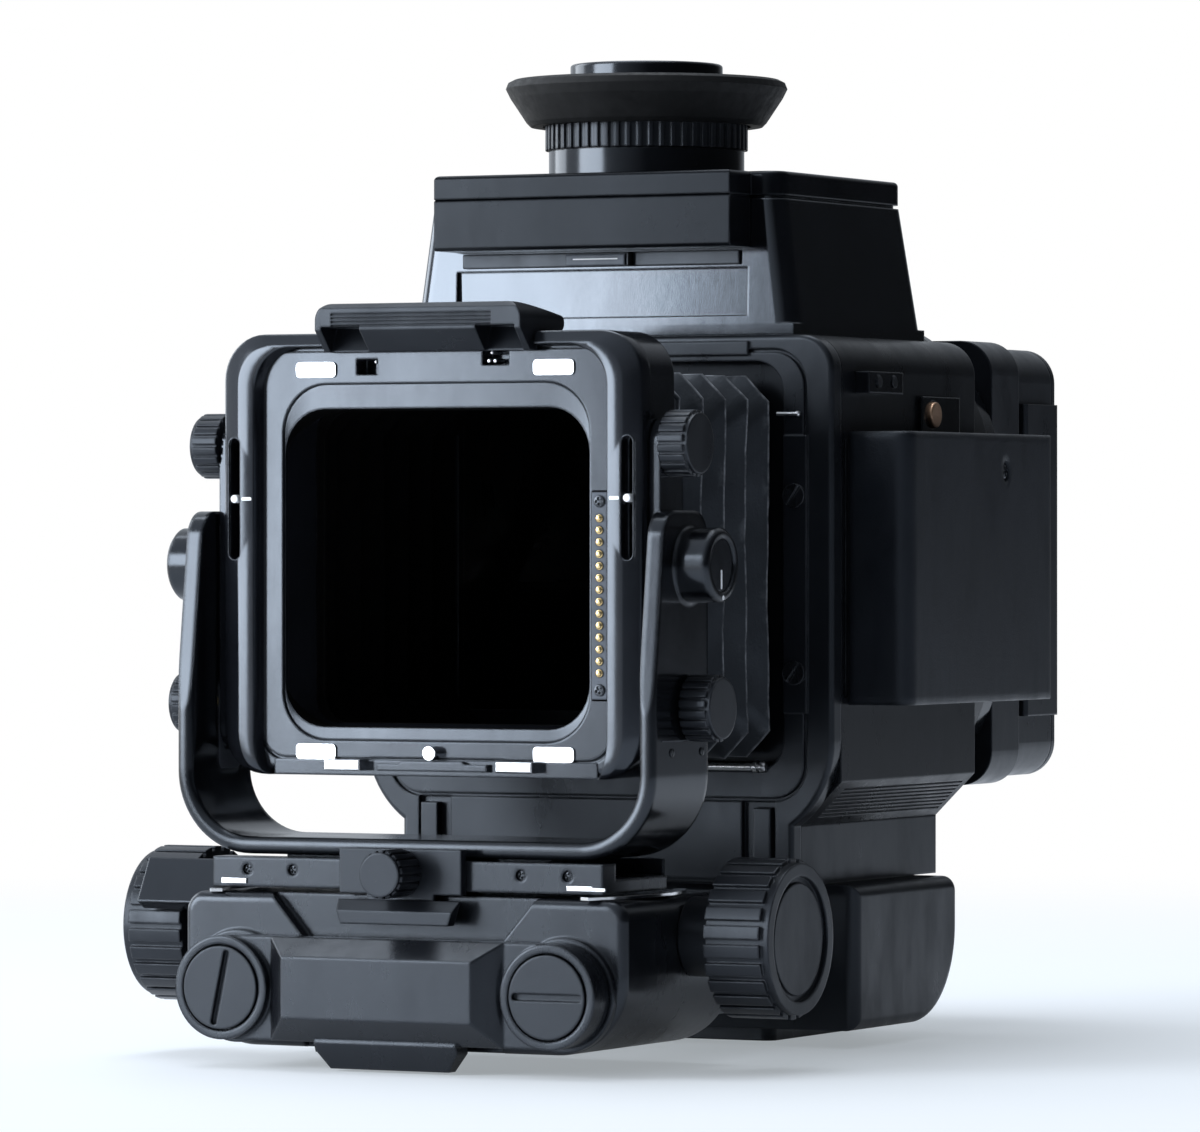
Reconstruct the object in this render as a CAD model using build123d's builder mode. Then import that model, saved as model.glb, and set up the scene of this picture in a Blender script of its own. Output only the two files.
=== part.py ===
"""A medium format bellows camera: body, film back and chimney finder on a base with two rails, and a
geared lens standard that focuses, swings, shifts, tilts and rises in front of its pleated bellows.
Units are millimetres. Z is up, the lens side faces -Y and +X is on the right as the lens side is seen.
The origin is the mouth of the tripod socket in the foot plate."""

import math
import os

from build123d import *

# Clearances
face_gap = 0.3
running_fit = 0.06
seat_gap = 0.1
slide_gap = 0.2

# Lens axis and lens standard
lens_axis_z = 121.0
standard_y = -145.0
standard_half_width = 57.0
standard_bottom_z = 70.0
standard_top_z = 177.0
standard_depth = 15.0
standard_corner_radius = 11.0
standard_edge_round = 2.5
window_half_width = 42.0
window_bottom_z = standard_bottom_z + 8.3
window_top_z = standard_top_z - 12.0
window_corner_radius = 12.0
seat_groove_width = 0.9
seat_groove_depth = 0.9
seat_half_width = 48.6
seat_margin_z = 3.4
throat_half_width = 38.0
throat_bottom_z = window_bottom_z + 4.1
throat_top_z = window_top_z - 6.1
throat_corner_radius = 6.0
throat_frame_depth = 5.0
index_slot_x = 54.0
index_slot_width = 3.0
index_slot_depth = 9.0
pocket_depth = 6.0
catch_pocket_depth = 5.0
catch_pockets = ((-18.5, 8.1, 5.8, 3.8), (16.7, 6.3, 7.2, 3.4))

# Tilt, rise, shift, swing and focus movements
pivot_depth = 7.0
rise_travel = 13.0
index_pin_z = 137.0
index_pin_height = 3.0
focus_travel = 42.0
shift_travel = 15.0

# Tilt carriers beside the standard
carrier_thickness = 2.9
carrier_width = 12.0
carrier_bottom_z = 76.0
rise_knob_z = 150.0
rise_knob_radius = 8.0
rise_knob_length = 7.6
rise_knob_ribs = 20
rise_shaft_radius = 2.0
pivot_pin_radius = 3.0

# Yoke
yoke_half_width = 65.0
yoke_thickness = 4.2
yoke_top_z = 134.0
yoke_bottom_z = 51.0
yoke_corner_radius = 20.0
yoke_front_reach_bottom = 12.0
yoke_front_reach_top = 6.0
yoke_taper_start_z = 86.0
yoke_rear_depth = 17.0
yoke_top_round = 7.0
yoke_bead_round = 1.6
keel_half_length = 36.0
keel_height = 4.0
pivot_housing_radius = 8.9
pivot_housing_length = 9.0
pivot_disc_radius = 6.4
pivot_disc_recess = 0.5
tilt_knob_z = 87.0
tilt_knob_radius = 8.0
tilt_knob_length = 8.0
tilt_knob_ribs = 20
tilt_knob_standoff = 1.0
tilt_shaft_radius = 1.8
arm_plate_z = 82.0
arm_plate_height = 23.0
arm_plate_width = 11.0
arm_plate_depth = 0.9

# Swing plate with its gibs, lock block and knob
plate_top_z = 50.4
plate_floor_z = 46.6
plate_bottom_z = 43.2
plate_half_width = 53.0
plate_front_reach = 14.7
plate_rear_depth = 28.0
plate_corner_cut = 9.0
channel_front_reach = 8.0
channel_rear_depth = 20.0
plate_screw_x = (-43.5, -31.0, 31.0, 43.5)
plate_screw_z = 47.4
plate_screw_radius = 1.3
plate_screw_depth = 3.0
lock_block_half_width = 16.5
lock_block_top_z = 53.2
lock_block_bottom_z = 42.4
lock_block_reach = 17.4
lock_tongue_reach = 20.6
lock_web_half_width = 9.0
lock_web_depth = 1.2
lock_web_reach = 4.0
lock_groove_height = 1.4
lock_tongue_bottom_z = 35.2
lock_tongue_half_width = 14.6
lock_knob_z = 47.4
lock_knob_radius = 5.8
lock_knob_length = 10.5
lock_shaft_length = 2.4
lock_knob_ribs = 18
lock_shaft_radius = 1.6
swing_pin_radius = 8.0
pointer_half_width = 3.4
pointer_x = 47.0
pointer_thickness = 0.5

# Carriage block on the rails
block_top_z = 42.0
block_bottom_z = 5.0
block_half_width = 60.0
block_front_reach = 16.6
block_rear_depth = 42.0
block_lower_radius = 19.0
block_upper_radius = 5.0
block_edge_round = 2.2
block_recess_depth = 3.1
block_recess_top_half = 37.0
block_recess_bottom_half = 27.0
block_recess_bottom_z = 31.5
arc_inner_radius = 54.6
arc_outer_radius = 57.6
arc_bottom_z = 42.0
arc_thickness = 0.8
arc_half_angle = 27.0
collar_radius = 13.6
collar_length = 2.0

# Rails, rack and cross bar
rail_x = 44.2
rail_z = 19.4
rail_radius = 9.0
rail_rear_y = 5.0
rack_module = 1.0
pinion_teeth = 10
rack_addendum = 0.8
rack_dedendum = 1.15
rack_groove_half = 1.03
rack_first_reach = 6.0
pressure_tangent = 0.364
pinion_length = 7.0
pinion_root_half = 0.85
pinion_tip_half = 0.35
focus_shaft_depth = 20.0
focus_shaft_radius = 3.0
bar_rear_gap = 0.3
bar_end_radius = 12.5
bar_thickness = 5.4
bar_end_thickness = 7.6
bar_panel_height = 5.6
bar_panel_half = 25.6
bar_panel_base_half = 31.5
bar_panel_bottom_z = 12.7
bar_panel_top_z = 27.4
bar_foot_half = 19.2
bar_foot_bottom_z = 0.6
bar_foot_thickness = 4.5
bar_foot_bevel = 3.2
cap_radius = 10.0
cap_ring_gap = 0.5
cap_head = 3.9
cap_slot_width = 1.7
cap_slot_depth = 1.3
cap_shank_radius = 4.0
cap_shank_length = 12.0
cap_slot_angles = (78.0, 0.0)

# Focus knobs and focus lock
focus_knob_radius = 19.2
focus_knob_face_x = 88.2
focus_knob_length = 16.6
focus_knob_ribs = 26
focus_rib_depth = 1.1
focus_hub_radius = 9.6
focus_face_groove = 15.0
focus_face_disc = 13.4
focus_face_depth = 1.4
lock_ring_radius = 13.4
lock_ring_length = 8.6
lock_arm_angle = 29.0
lock_arm_width = 12.0
lock_arm_reach = 24.0
lock_arm_overhang = 12.0

# Body
body_half_width = 66.0
neck_inset = 11.0
body_top_z = 178.0
body_shoulder_z = 67.0
neck_top_z = 56.0
body_front_y = -55.0
body_rear_y = 26.0
body_corner_radius = 9.0
side_groove_pitch = 1.35
side_groove_depth = 0.5
side_grooves = 8
chamber_half_width = 43.0
chamber_bottom_z = 82.0
chamber_top_z = body_top_z - 8.4
chamber_front_wall = 3.0
light_path_half_width = 41.5
light_path_bottom_z = 80.0
light_path_top_z = chamber_top_z - 8.6
screen_half_width = 41.0
screen_length = 62.0
screen_y = -17.0
screen_thickness = 2.0
screen_ledge = 1.5
plate_front_y = -60.0
plate_bottom_edge_z = 41.6
plate_shoulder_z = 77.2
plate_shoulder_radius = 26.0
plate_panel_inset = 7.0
plate_panel_bottom_z = 62.0
plate_panel_radius = 9.5
plate_panel_top_z = body_top_z - 3.5
plate_groove_width = 0.9
plate_groove_depth = 0.9
guide_slot_inner_x = 41.0
guide_slot_outer_x = 50.2
guide_slot_depth = 1.8
recess_half_width = 52.6
recess_bottom_z = 69.5
recess_top_z = body_top_z - 6.5
recess_corner_radius = 8.0
guide_x = 46.9
guide_half_width = 2.3
guide_top_z = 60.4
guide_height = 0.8
side_strip_x = body_half_width - 10.0
side_strip_half_width = 3.2
side_strip_bottom_z = 84.0
side_strip_top_z = 153.0
strip_height = 0.8
strip_screw_z = (94.0, 138.0)
strip_screw_radius = 3.0
top_strip_half_width = 43.0
top_strip_bottom_z = body_top_z - 5.0
top_strip_height = 3.4

# Bellows
bellows_half_width = 49.5
bellows_half_height = 47.5
bellows_centre_z = 120.5
bellows_chamfer = 6.3
bellows_fold_depth = 6.6
bellows_folds = 6
bellows_wall = 1.2

# Base, foot and tripod sockets
neck_half_width = body_half_width - neck_inset
base_half_width = body_half_width
base_top_z = 41.0
base_bottom_z = 4.6
base_front_y = -46.0
base_rear_y = 16.0
base_rear_radius = 24.0
base_edge_round = 3.0
foot_half_width = 33.0
foot_front_y = -26.0
foot_rear_y = 22.0
spine_half_width = 36.0
spine_round = 3.0
foot_corner_radius = 3.0
bush_radius = 8.0
bush_depth = 4.4
socket_radius = 4.0
small_socket_radius = 2.6
small_socket_y = 20.0
small_bush_radius = 5.0

# Battery pack, its button and the strap lugs
pack_thickness = 16.8
pack_front_y = -51.0
pack_rear_y = 37.0
pack_bottom_z = 86.0
pack_top_z = 154.0
pack_edge_round = 4.0
pack_screw_y = 8.0
pack_screw_z = 144.5
pack_screw_radius = 1.7
button_plate_front_y = -9.0
button_plate_rear_y = 14.0
button_plate_top_z = 163.5
button_plate_thickness = 1.2
button_y = -2.5
button_radius = 3.3
button_travel = 1.2
lug_front_y = -47.0
lug_rear_y = -27.0
lug_bottom_z = body_top_z - 14.5
lug_thickness = 4.0
lug_screw_radius = 1.4
lug_screw_pitch = 9.0
lug_screw_rise = 2.9
latch_recess_depth = 1.0

# Control side
panel_front_y = -48.0
panel_rear_y = 18.0
panel_bottom_z = 92.0
panel_top_z = 162.0
panel_thickness = 4.0
dial_y = 2.0
dial_z = 150.0
dial_radius = 11.0
dial_height = 5.0
dial_ribs = 24
release_y = -38.0
release_z = 152.0
release_radius = 6.5
release_collar = 9.0
release_travel = 1.8

# Mirror
mirror_pivot_y = 22.0
mirror_pivot_z = chamber_top_z - 3.6
mirror_length = 72.0
mirror_half_width = 39.0
mirror_thickness = 1.6
mirror_holder_thickness = 1.4
mirror_barrel_radius = 1.8
mirror_pin_radius = 1.2
mirror_pin_reach = 2.4
mirror_pin_end_gap = 0.3

# Rear flange, revolving ring and film back
flange_rear_y = 38.0
flange_half_width = body_half_width
flange_corner_radius = 44.0
gate_half_width = 39.0
gate_corner_radius = 2.0
ring_rear_y = 46.0
ring_inset = 0.8
adapter_rear_y = 64.0
adapter_half_width = body_half_width - 4.0
turn_spigot_radius = 60.0
turn_spigot_reach = 2.0
back_rear_y = 89.0
door_rear_y = 93.0
back_half_width = body_half_width - 6.0
back_bottom_z = 64.5
back_top_z = 177.5
back_corner_radius = 9.0
back_wall = 3.0
film_gate_half_width = 38.0
film_gate_half_height = 28.0
spool_x = -44.0
spool_flange_radius = 9.6
spool_core_radius = 4.0
spool_half_length = 31.0
spool_flange = 1.5
door_hinge_radius = 2.0
door_hinge_x = -back_half_width - 1.4
door_knuckle_bottom_z = 90.0
door_knuckle_top_z = 152.0
back_knuckle_margin = 8.0
door_panel_half_width = 46.0
door_panel_half_height = 41.0
door_panel_height = 1.6
pressure_half_width = 33.0
pressure_half_height = 34.0
pressure_thickness = 1.5
pressure_standoff = 4.0
side_catch_bottom_z = 80.6
side_catch_top_z = 162.8
side_catch_thickness = 2.2

# Finder and magnifier
finder_bottom_z = body_top_z
finder_skirt_z = finder_bottom_z + 3.0
finder_top_z = finder_bottom_z + 35.0
finder_top_half = 49.7
finder_bottom_half = 54.0
finder_top_front_y = -56.0
finder_bottom_front_y = -57.0
finder_top_rear_y = 18.0
finder_bottom_rear_y = 21.0
finder_wall = 3.0
finder_panel_half = 41.0
finder_panel_bottom_z = finder_bottom_z + 5.0
finder_panel_top_z = finder_bottom_z + 17.0
finder_panel_depth = 1.6
lid_top_z = finder_top_z + 6.0
finder_corner_radius = 5.0
lid_seam_height = 0.9
lid_seam_depth = 1.2
lid_edge_round = 1.2
name_bar_front_y = -68.0
name_bar_half = 41.6
name_bar_bottom_z = finder_top_z - 13.0
name_bar_edge_round = 0.8
name_bar_seam = 0.6
eyepiece_y = -31.0
barrel_radius = 24.9
barrel_top_z = lid_top_z + 7.0
dioptre_radius = 25.8
dioptre_top_z = barrel_top_z + 7.0
dioptre_ribs = 56
dioptre_rib_depth = 0.7
eyecup_skirt_gap = 0.8
eyecup_skirt_drop = 0.8
eyecup_skirt_radius = 30.6
eyecup_rim_radius = 35.9
eyecup_top_z = dioptre_top_z + 11.0
eyecup_wall = 3.4
eyecup_floor = 3.2
eyepiece_bore = 16.5
lens_ring_radius = 19.4
lens_ring_top_z = dioptre_top_z + 15.0
lens_radius = 15.5
lens_sag = 2.5

# Lens mount fittings on the standard
pad_x = 32.5
pad_half_width = 5.5
pad_half_height = 1.9
pad_top_z = standard_top_z - 8.7
pad_bottom_z = standard_bottom_z + 5.6
pad_height = 0.5
tab_x = 23.5
tab_half_width = 5.0
tab_reach = 4.0
tab_top_z = standard_bottom_z + 4.0
tab_bottom_z = standard_bottom_z + 1.2
locator_radius = 1.7
locator_reach = 3.0
locator_z = pad_bottom_z
contact_x = 45.0
contact_half_width = 2.1
contact_bottom_z = 89.0
contact_top_z = 138.4
contact_height = 0.7
contact_pin_count = 14
contact_pin_pitch = 2.84
contact_pin_radius = 0.85
contact_pin_height = 0.9
latch_half_width = 28.0
latch_top_z = standard_top_z + 7.0
latch_reach = 9.0
latch_crest_reach = 5.0
latch_rear_depth = 15.0
latch_lip_z = standard_top_z - 4.6
latch_band_height = 6.4
latch_slope_reach = 5.0
latch_corner_radius = 4.0
latch_grooves = 4
latch_groove_pitch = 0.9
latch_groove_start_x = -23.6
latch_groove_length = 43.6
latch_pocket_inner_x = 15.8
latch_pocket_outer_x = 26.4
latch_pocket_top_z = latch_top_z - 5.6
latch_pin_radius = 1.1
latch_hub_radius = 1.9
latch_ear_x = 19.5
latch_ear_width = 5.0
latch_ear_height = 3.4
latch_ear_length = 6.0
slider_half_width = 15.0
slider_height = 1.8
slider_step = 0.7

# Derived places
pivot_y = standard_y + pivot_depth
standard_mid_z = (standard_bottom_z + standard_top_z) / 2
window_mid_z = (window_bottom_z + window_top_z) / 2
carrier_inner_x = standard_half_width + 0.4
carrier_outer_x = carrier_inner_x + carrier_thickness
yoke_inner_x = yoke_half_width - yoke_thickness
carrier_top_z = rise_knob_z + carrier_width / 2
block_front_y = standard_y - block_front_reach
block_rear_y = standard_y + block_rear_depth
focus_y = standard_y + focus_shaft_depth
pinion_radius = rack_module * pinion_teeth / 2
rack_pitch = math.pi * rack_module
rack_line_z = rail_z + rail_radius - 1.4
focus_shaft_z = rack_line_z + pinion_radius
bar_rear_y = block_front_y - collar_length - bar_rear_gap
bar_face_y = bar_rear_y - bar_thickness
bar_end_y = bar_rear_y - bar_end_thickness
sides = (-1, 1)


# Helpers
def facing_front(y, z=0.0):
    """A plane seen from the front: local x is +X, local y is +Z, and it faces -Y."""
    return Plane(origin=(0, y, z), x_dir=(1, 0, 0), z_dir=(0, -1, 0))


def facing_side(side, x, y=0.0, z=0.0):
    """A plane that faces outwards along X on the given side, with local y up."""
    return Plane(origin=(side * x, y, z), x_dir=(0, side, 0), z_dir=(side, 0, 0))


def export(builder, label):
    """Label a finished piece and write its STEP file."""
    builder.part.label = label
    export_step(builder.part, f"parts/{label}.step")


def box_outline(half_width, bottom, top, radius, cut=False):
    """A rounded rectangle drawn in the running sketch, or cut from it, between two heights."""
    mode = Mode.SUBTRACT if cut else Mode.ADD
    with Locations((0, (bottom + top) / 2)):
        RectangleRounded(2 * half_width, top - bottom, radius, mode=mode)


def gate_outline():
    """The square film gate on the lens axis, cut from the running sketch."""
    box_outline(
        gate_half_width,
        lens_axis_z - gate_half_width,
        lens_axis_z + gate_half_width,
        gate_corner_radius,
        cut=True,
    )


def ribbed_disc(radius, ribs, depth):
    """A round knob outline with evenly spaced flutes, drawn in the running sketch."""
    flute = math.pi * radius / ribs * 0.62
    Circle(radius)
    with PolarLocations(radius, ribs):
        Rectangle(2 * depth, flute, mode=Mode.SUBTRACT)


def fluted_knob(plane, radius, length, ribs, depth, shaft_radius, shaft_length):
    """A fluted knob standing on a plane, with its shaft going back through the plane."""
    with BuildPart() as knob:
        with BuildSketch(plane):
            ribbed_disc(radius, ribs, depth)
        extrude(amount=length - 1.0)
        with BuildSketch(plane.offset(length - 1.0)):
            Circle(radius - depth)
        extrude(amount=1.0)
        with BuildSketch(plane):
            Circle(shaft_radius)
        extrude(amount=-shaft_length)
    return knob


os.makedirs("parts", exist_ok=True)

# Lens standard: a deep rounded frame with a stepped window, index slots and side pockets
standard_rear_y = standard_y + standard_depth
throat_front_y = standard_rear_y - throat_frame_depth
slot_half_height = rise_travel + index_pin_height / 2 + face_gap
latch_pivot_y = standard_y + latch_rear_depth - 3.0
latch_pivot_z = standard_top_z + face_gap + latch_hub_radius
latch_pin_half_length = latch_half_width - 6.1
with BuildPart() as lens_frame:
    with BuildSketch(facing_front(standard_y)):
        box_outline(standard_half_width, standard_bottom_z, standard_top_z, standard_corner_radius)
    extrude(amount=-standard_depth)
    fillet(lens_frame.faces().sort_by(Axis.Y)[0].edges(), standard_edge_round)
    # the window narrows to the throat, then opens to the pocket of the throat frame
    with BuildSketch(facing_front(standard_y)):
        box_outline(window_half_width, window_bottom_z, window_top_z, window_corner_radius)
    with BuildSketch(facing_front(throat_front_y)):
        box_outline(throat_half_width, throat_bottom_z, throat_top_z, throat_corner_radius)
    loft(ruled=True, mode=Mode.SUBTRACT)
    with BuildSketch(facing_front(throat_front_y)):
        box_outline(window_half_width, window_bottom_z, window_top_z, window_corner_radius)
    extrude(amount=-throat_frame_depth, mode=Mode.SUBTRACT)
    # thin groove between the rounded band and the flat lens seat
    with BuildSketch(facing_front(standard_y)):
        box_outline(
            seat_half_width,
            standard_bottom_z + seat_margin_z,
            standard_top_z - seat_margin_z,
            standard_corner_radius - seat_margin_z,
        )
        offset(amount=-seat_groove_width, mode=Mode.SUBTRACT)
    extrude(amount=-seat_groove_depth, mode=Mode.SUBTRACT)
    # index slots in the face, open to the pockets in the sides
    with BuildSketch(facing_front(standard_y)):
        with Locations(*[(side * index_slot_x, index_pin_z) for side in sides]):
            SlotOverall(2 * slot_half_height, index_slot_width, rotation=90)
    extrude(amount=-index_slot_depth, mode=Mode.SUBTRACT)
    for side in sides:
        with BuildSketch(facing_side(side, standard_half_width, standard_y, index_pin_z)):
            with Locations((side * index_slot_depth / 2 + side * pocket_depth / 4, 0)):
                Rectangle(pocket_depth, 2 * slot_half_height)
        extrude(amount=-(standard_half_width - index_slot_x), mode=Mode.SUBTRACT)
    # square pockets in the seat for the catches of the lens
    with BuildSketch(facing_front(standard_y)):
        for pocket_x, pocket_drop, pocket_width, pocket_height in catch_pockets:
            with Locations((pocket_x, standard_top_z - pocket_drop)):
                Rectangle(pocket_width, pocket_height)
    extrude(amount=-catch_pocket_depth, mode=Mode.SUBTRACT)
    # hinge ears and pin of the lens latch
    with BuildSketch(facing_front(standard_y + latch_rear_depth)):
        with Locations(*[(s * latch_ear_x, standard_top_z) for s in sides]):
            Rectangle(latch_ear_width, latch_ear_height, align=(Align.CENTER, Align.MIN))
    extrude(amount=latch_ear_length)
    with BuildSketch(Plane.YZ.offset(-latch_pin_half_length)):
        with Locations((latch_pivot_y, latch_pivot_z)):
            Circle(latch_pin_radius)
    extrude(amount=2 * latch_pin_half_length)
export(lens_frame, "lens_frame")

# Inner throat frame at the rear of the window, which carries the front of the bellows
with BuildPart() as throat_frame:
    with BuildSketch(facing_front(throat_front_y)):
        box_outline(
            window_half_width - running_fit,
            window_bottom_z + running_fit,
            window_top_z - running_fit,
            window_corner_radius,
        )
        box_outline(throat_half_width, throat_bottom_z, throat_top_z, throat_corner_radius, cut=True)
    extrude(amount=-throat_frame_depth)
export(throat_frame, "throat_frame")

# Bright lens pads on the seat, support tabs bent forwards under it and a locating pin
with BuildPart() as mount_fittings:
    with BuildSketch(facing_front(standard_y)):
        with Locations(*[(s * tab_x, (tab_top_z + tab_bottom_z) / 2) for s in sides]):
            Rectangle(2 * tab_half_width, tab_top_z - tab_bottom_z)
    extrude(amount=tab_reach)
    fillet(mount_fittings.faces().group_by(Axis.Y)[0].edges(), 0.5)
    with BuildSketch(facing_front(standard_y)):
        with Locations(*[(s * pad_x, z) for s in sides for z in (pad_bottom_z, pad_top_z)]):
            RectangleRounded(2 * pad_half_width, 2 * pad_half_height, pad_half_height * 0.6)
    extrude(amount=pad_height)
    with BuildSketch(facing_front(standard_y)):
        with Locations((0, locator_z)):
            Circle(locator_radius)
    extrude(amount=locator_reach)
export(mount_fittings, "mount_fittings")

# Dark slider between the tabs, with a stepped middle
with BuildPart() as board_slider:
    with BuildSketch(facing_front(standard_y)):
        with Locations((0, tab_bottom_z + slider_height / 2)):
            Rectangle(2 * slider_half_width, slider_height)
        with Locations((0, tab_bottom_z + slider_height)):
            Trapezoid(slider_half_width * 1.2, slider_step, 45, align=(Align.CENTER, Align.MIN))
    extrude(amount=tab_reach * 0.4)
export(board_slider, "board_slider")

# Contact strip beside the window, with its row of sprung pins
contact_mid_z = (contact_bottom_z + contact_top_z) / 2
with BuildPart() as contact_strip:
    with BuildSketch(facing_front(standard_y)):
        with Locations((contact_x, contact_mid_z)):
            Rectangle(2 * contact_half_width, contact_top_z - contact_bottom_z)
    extrude(amount=contact_height)
    with BuildSketch(facing_front(standard_y - contact_height)):
        with Locations((contact_x, contact_mid_z)):
            with GridLocations(0, contact_pin_pitch, 1, contact_pin_count):
                Circle(contact_pin_radius + running_fit)
    extrude(amount=-contact_height, mode=Mode.SUBTRACT)
export(contact_strip, "contact_strip")

with BuildPart() as contact_row:
    with BuildSketch(facing_front(standard_y)):
        with Locations((contact_x, contact_mid_z)):
            with GridLocations(0, contact_pin_pitch, 1, contact_pin_count):
                Circle(contact_pin_radius)
    extrude(amount=contact_height + contact_pin_height)
export(contact_row, "contact_pins")

# Lens latch: a hinged lever on top of the standard with a grooved front band and two finger pockets
latch_front_y = standard_y - latch_reach
latch_band_bottom_z = latch_top_z - latch_band_height
latch_lip_y = latch_front_y + latch_slope_reach
with BuildPart() as finger_pockets:
    with BuildSketch(Plane.YZ.offset(-latch_half_width)):
        Polygon(
            (latch_front_y - 1.0, latch_lip_z - 1.0),
            (latch_front_y - 1.0, latch_pocket_top_z),
            (standard_y - 0.8, latch_pocket_top_z),
            (standard_y - 3.9, latch_lip_z - 1.0),
            align=None,
        )
    extrude(amount=2 * latch_half_width)
    with BuildSketch(facing_front(latch_front_y - 1.0)):
        for side in sides:
            with Locations((side * (latch_pocket_inner_x + latch_pocket_outer_x) / 2, latch_lip_z)):
                Rectangle(latch_pocket_outer_x - latch_pocket_inner_x, 2 * latch_top_z - 2 * latch_lip_z)
    extrude(amount=-2 * latch_reach, mode=Mode.INTERSECT)

with BuildPart() as lens_latch:
    with BuildSketch(Plane.YZ.offset(-latch_half_width)):
        with BuildLine():
            Polyline(
                (latch_pivot_y, standard_top_z + face_gap),
                (latch_pivot_y, latch_pivot_z + latch_hub_radius),
                (standard_y - latch_crest_reach, latch_top_z),
                (latch_front_y + 1.2, latch_top_z),
                (latch_front_y, latch_top_z - 1.2),
                (latch_front_y, latch_band_bottom_z),
                (latch_lip_y, latch_lip_z),
                (standard_y - face_gap, latch_lip_z),
                (standard_y - face_gap, standard_top_z + face_gap),
                close=True,
            )
        make_face()
    extrude(amount=2 * latch_half_width)
    with BuildSketch(Plane.YZ.offset(-latch_half_width)):
        with Locations((latch_pivot_y, latch_pivot_z)):
            Circle(latch_hub_radius)
    extrude(amount=2 * latch_half_width)
    # rounded top corners as seen from the front
    with BuildSketch(facing_front(latch_front_y)):
        box_outline(latch_half_width, 2 * latch_lip_z - latch_top_z, latch_top_z, latch_corner_radius)
    extrude(amount=-(latch_reach + latch_rear_depth), mode=Mode.INTERSECT)
    add(finger_pockets.part, mode=Mode.SUBTRACT)
    # fine grooves across the front band
    with BuildSketch(Plane.YZ.offset(latch_groove_start_x)):
        with Locations((latch_front_y, (latch_pocket_top_z + latch_top_z - 2.4) / 2)):
            with GridLocations(0, latch_groove_pitch, 1, latch_grooves):
                Rectangle(0.8, latch_groove_pitch / 2)
    extrude(amount=latch_groove_length, mode=Mode.SUBTRACT)
    with BuildSketch(Plane.YZ.offset(-latch_pin_half_length - seat_gap)):
        with Locations((latch_pivot_y, latch_pivot_z)):
            Circle(latch_pin_radius + running_fit)
    extrude(amount=2 * (latch_pin_half_length + seat_gap), mode=Mode.SUBTRACT)
    with BuildSketch(facing_front(standard_y + latch_rear_depth)):
        with Locations(*[(s * latch_ear_x, standard_top_z) for s in sides]):
            Rectangle(latch_ear_width + 2 * face_gap, 2 * latch_top_z - 2 * standard_top_z)
    extrude(amount=latch_ear_length + 1.0, mode=Mode.SUBTRACT)
export(lens_latch, "lens_latch")

# Tilt carriers: slotted side plates that hang on the tilt pins and guide the standard
with BuildPart() as tilt_carriers:
    for side in sides:
        with BuildSketch(facing_side(side, carrier_inner_x, pivot_y, 0)):
            with Locations((0, (carrier_bottom_z + carrier_top_z) / 2)):
                SlotOverall(carrier_top_z - carrier_bottom_z, carrier_width, rotation=90)
            with Locations((0, rise_knob_z)):
                Circle(rise_shaft_radius + running_fit, mode=Mode.SUBTRACT)
        extrude(amount=carrier_thickness)
        # tilt pin running out through the yoke arm to the index disc
        with BuildSketch(facing_side(side, carrier_outer_x, pivot_y, lens_axis_z)):
            Circle(pivot_pin_radius)
        extrude(amount=yoke_half_width + pivot_housing_length * 0.5 - carrier_outer_x)
        # index disc on the end of the pin
        disc_x = yoke_half_width + pivot_housing_length * 0.5
        with BuildSketch(facing_side(side, disc_x, pivot_y, lens_axis_z)):
            Circle(pivot_disc_radius)
        extrude(amount=pivot_housing_length * 0.5 - pivot_disc_recess)
export(tilt_carriers, "tilt_carriers")

# White index pins that show in the slots of the standard
with BuildPart() as index_pins:
    for side in sides:
        pin_plane = facing_side(side, index_slot_x - 1.0, standard_y + index_slot_depth - 3.0, index_pin_z)
        with BuildSketch(pin_plane):
            Circle(index_pin_height / 2)
        extrude(amount=carrier_inner_x - index_slot_x + 1.0)
export(index_pins, "index_pins")

# Rise knobs, one on each carrier
for side, name in ((-1, "left"), (1, "right")):
    rise_plane = facing_side(side, carrier_outer_x + seat_gap, pivot_y, rise_knob_z)
    rise_knob = fluted_knob(
        rise_plane,
        rise_knob_radius,
        rise_knob_length,
        rise_knob_ribs,
        0.7,
        rise_shaft_radius,
        carrier_thickness + seat_gap,
    )
    export(rise_knob, f"rise_knob_{name}")

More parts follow.
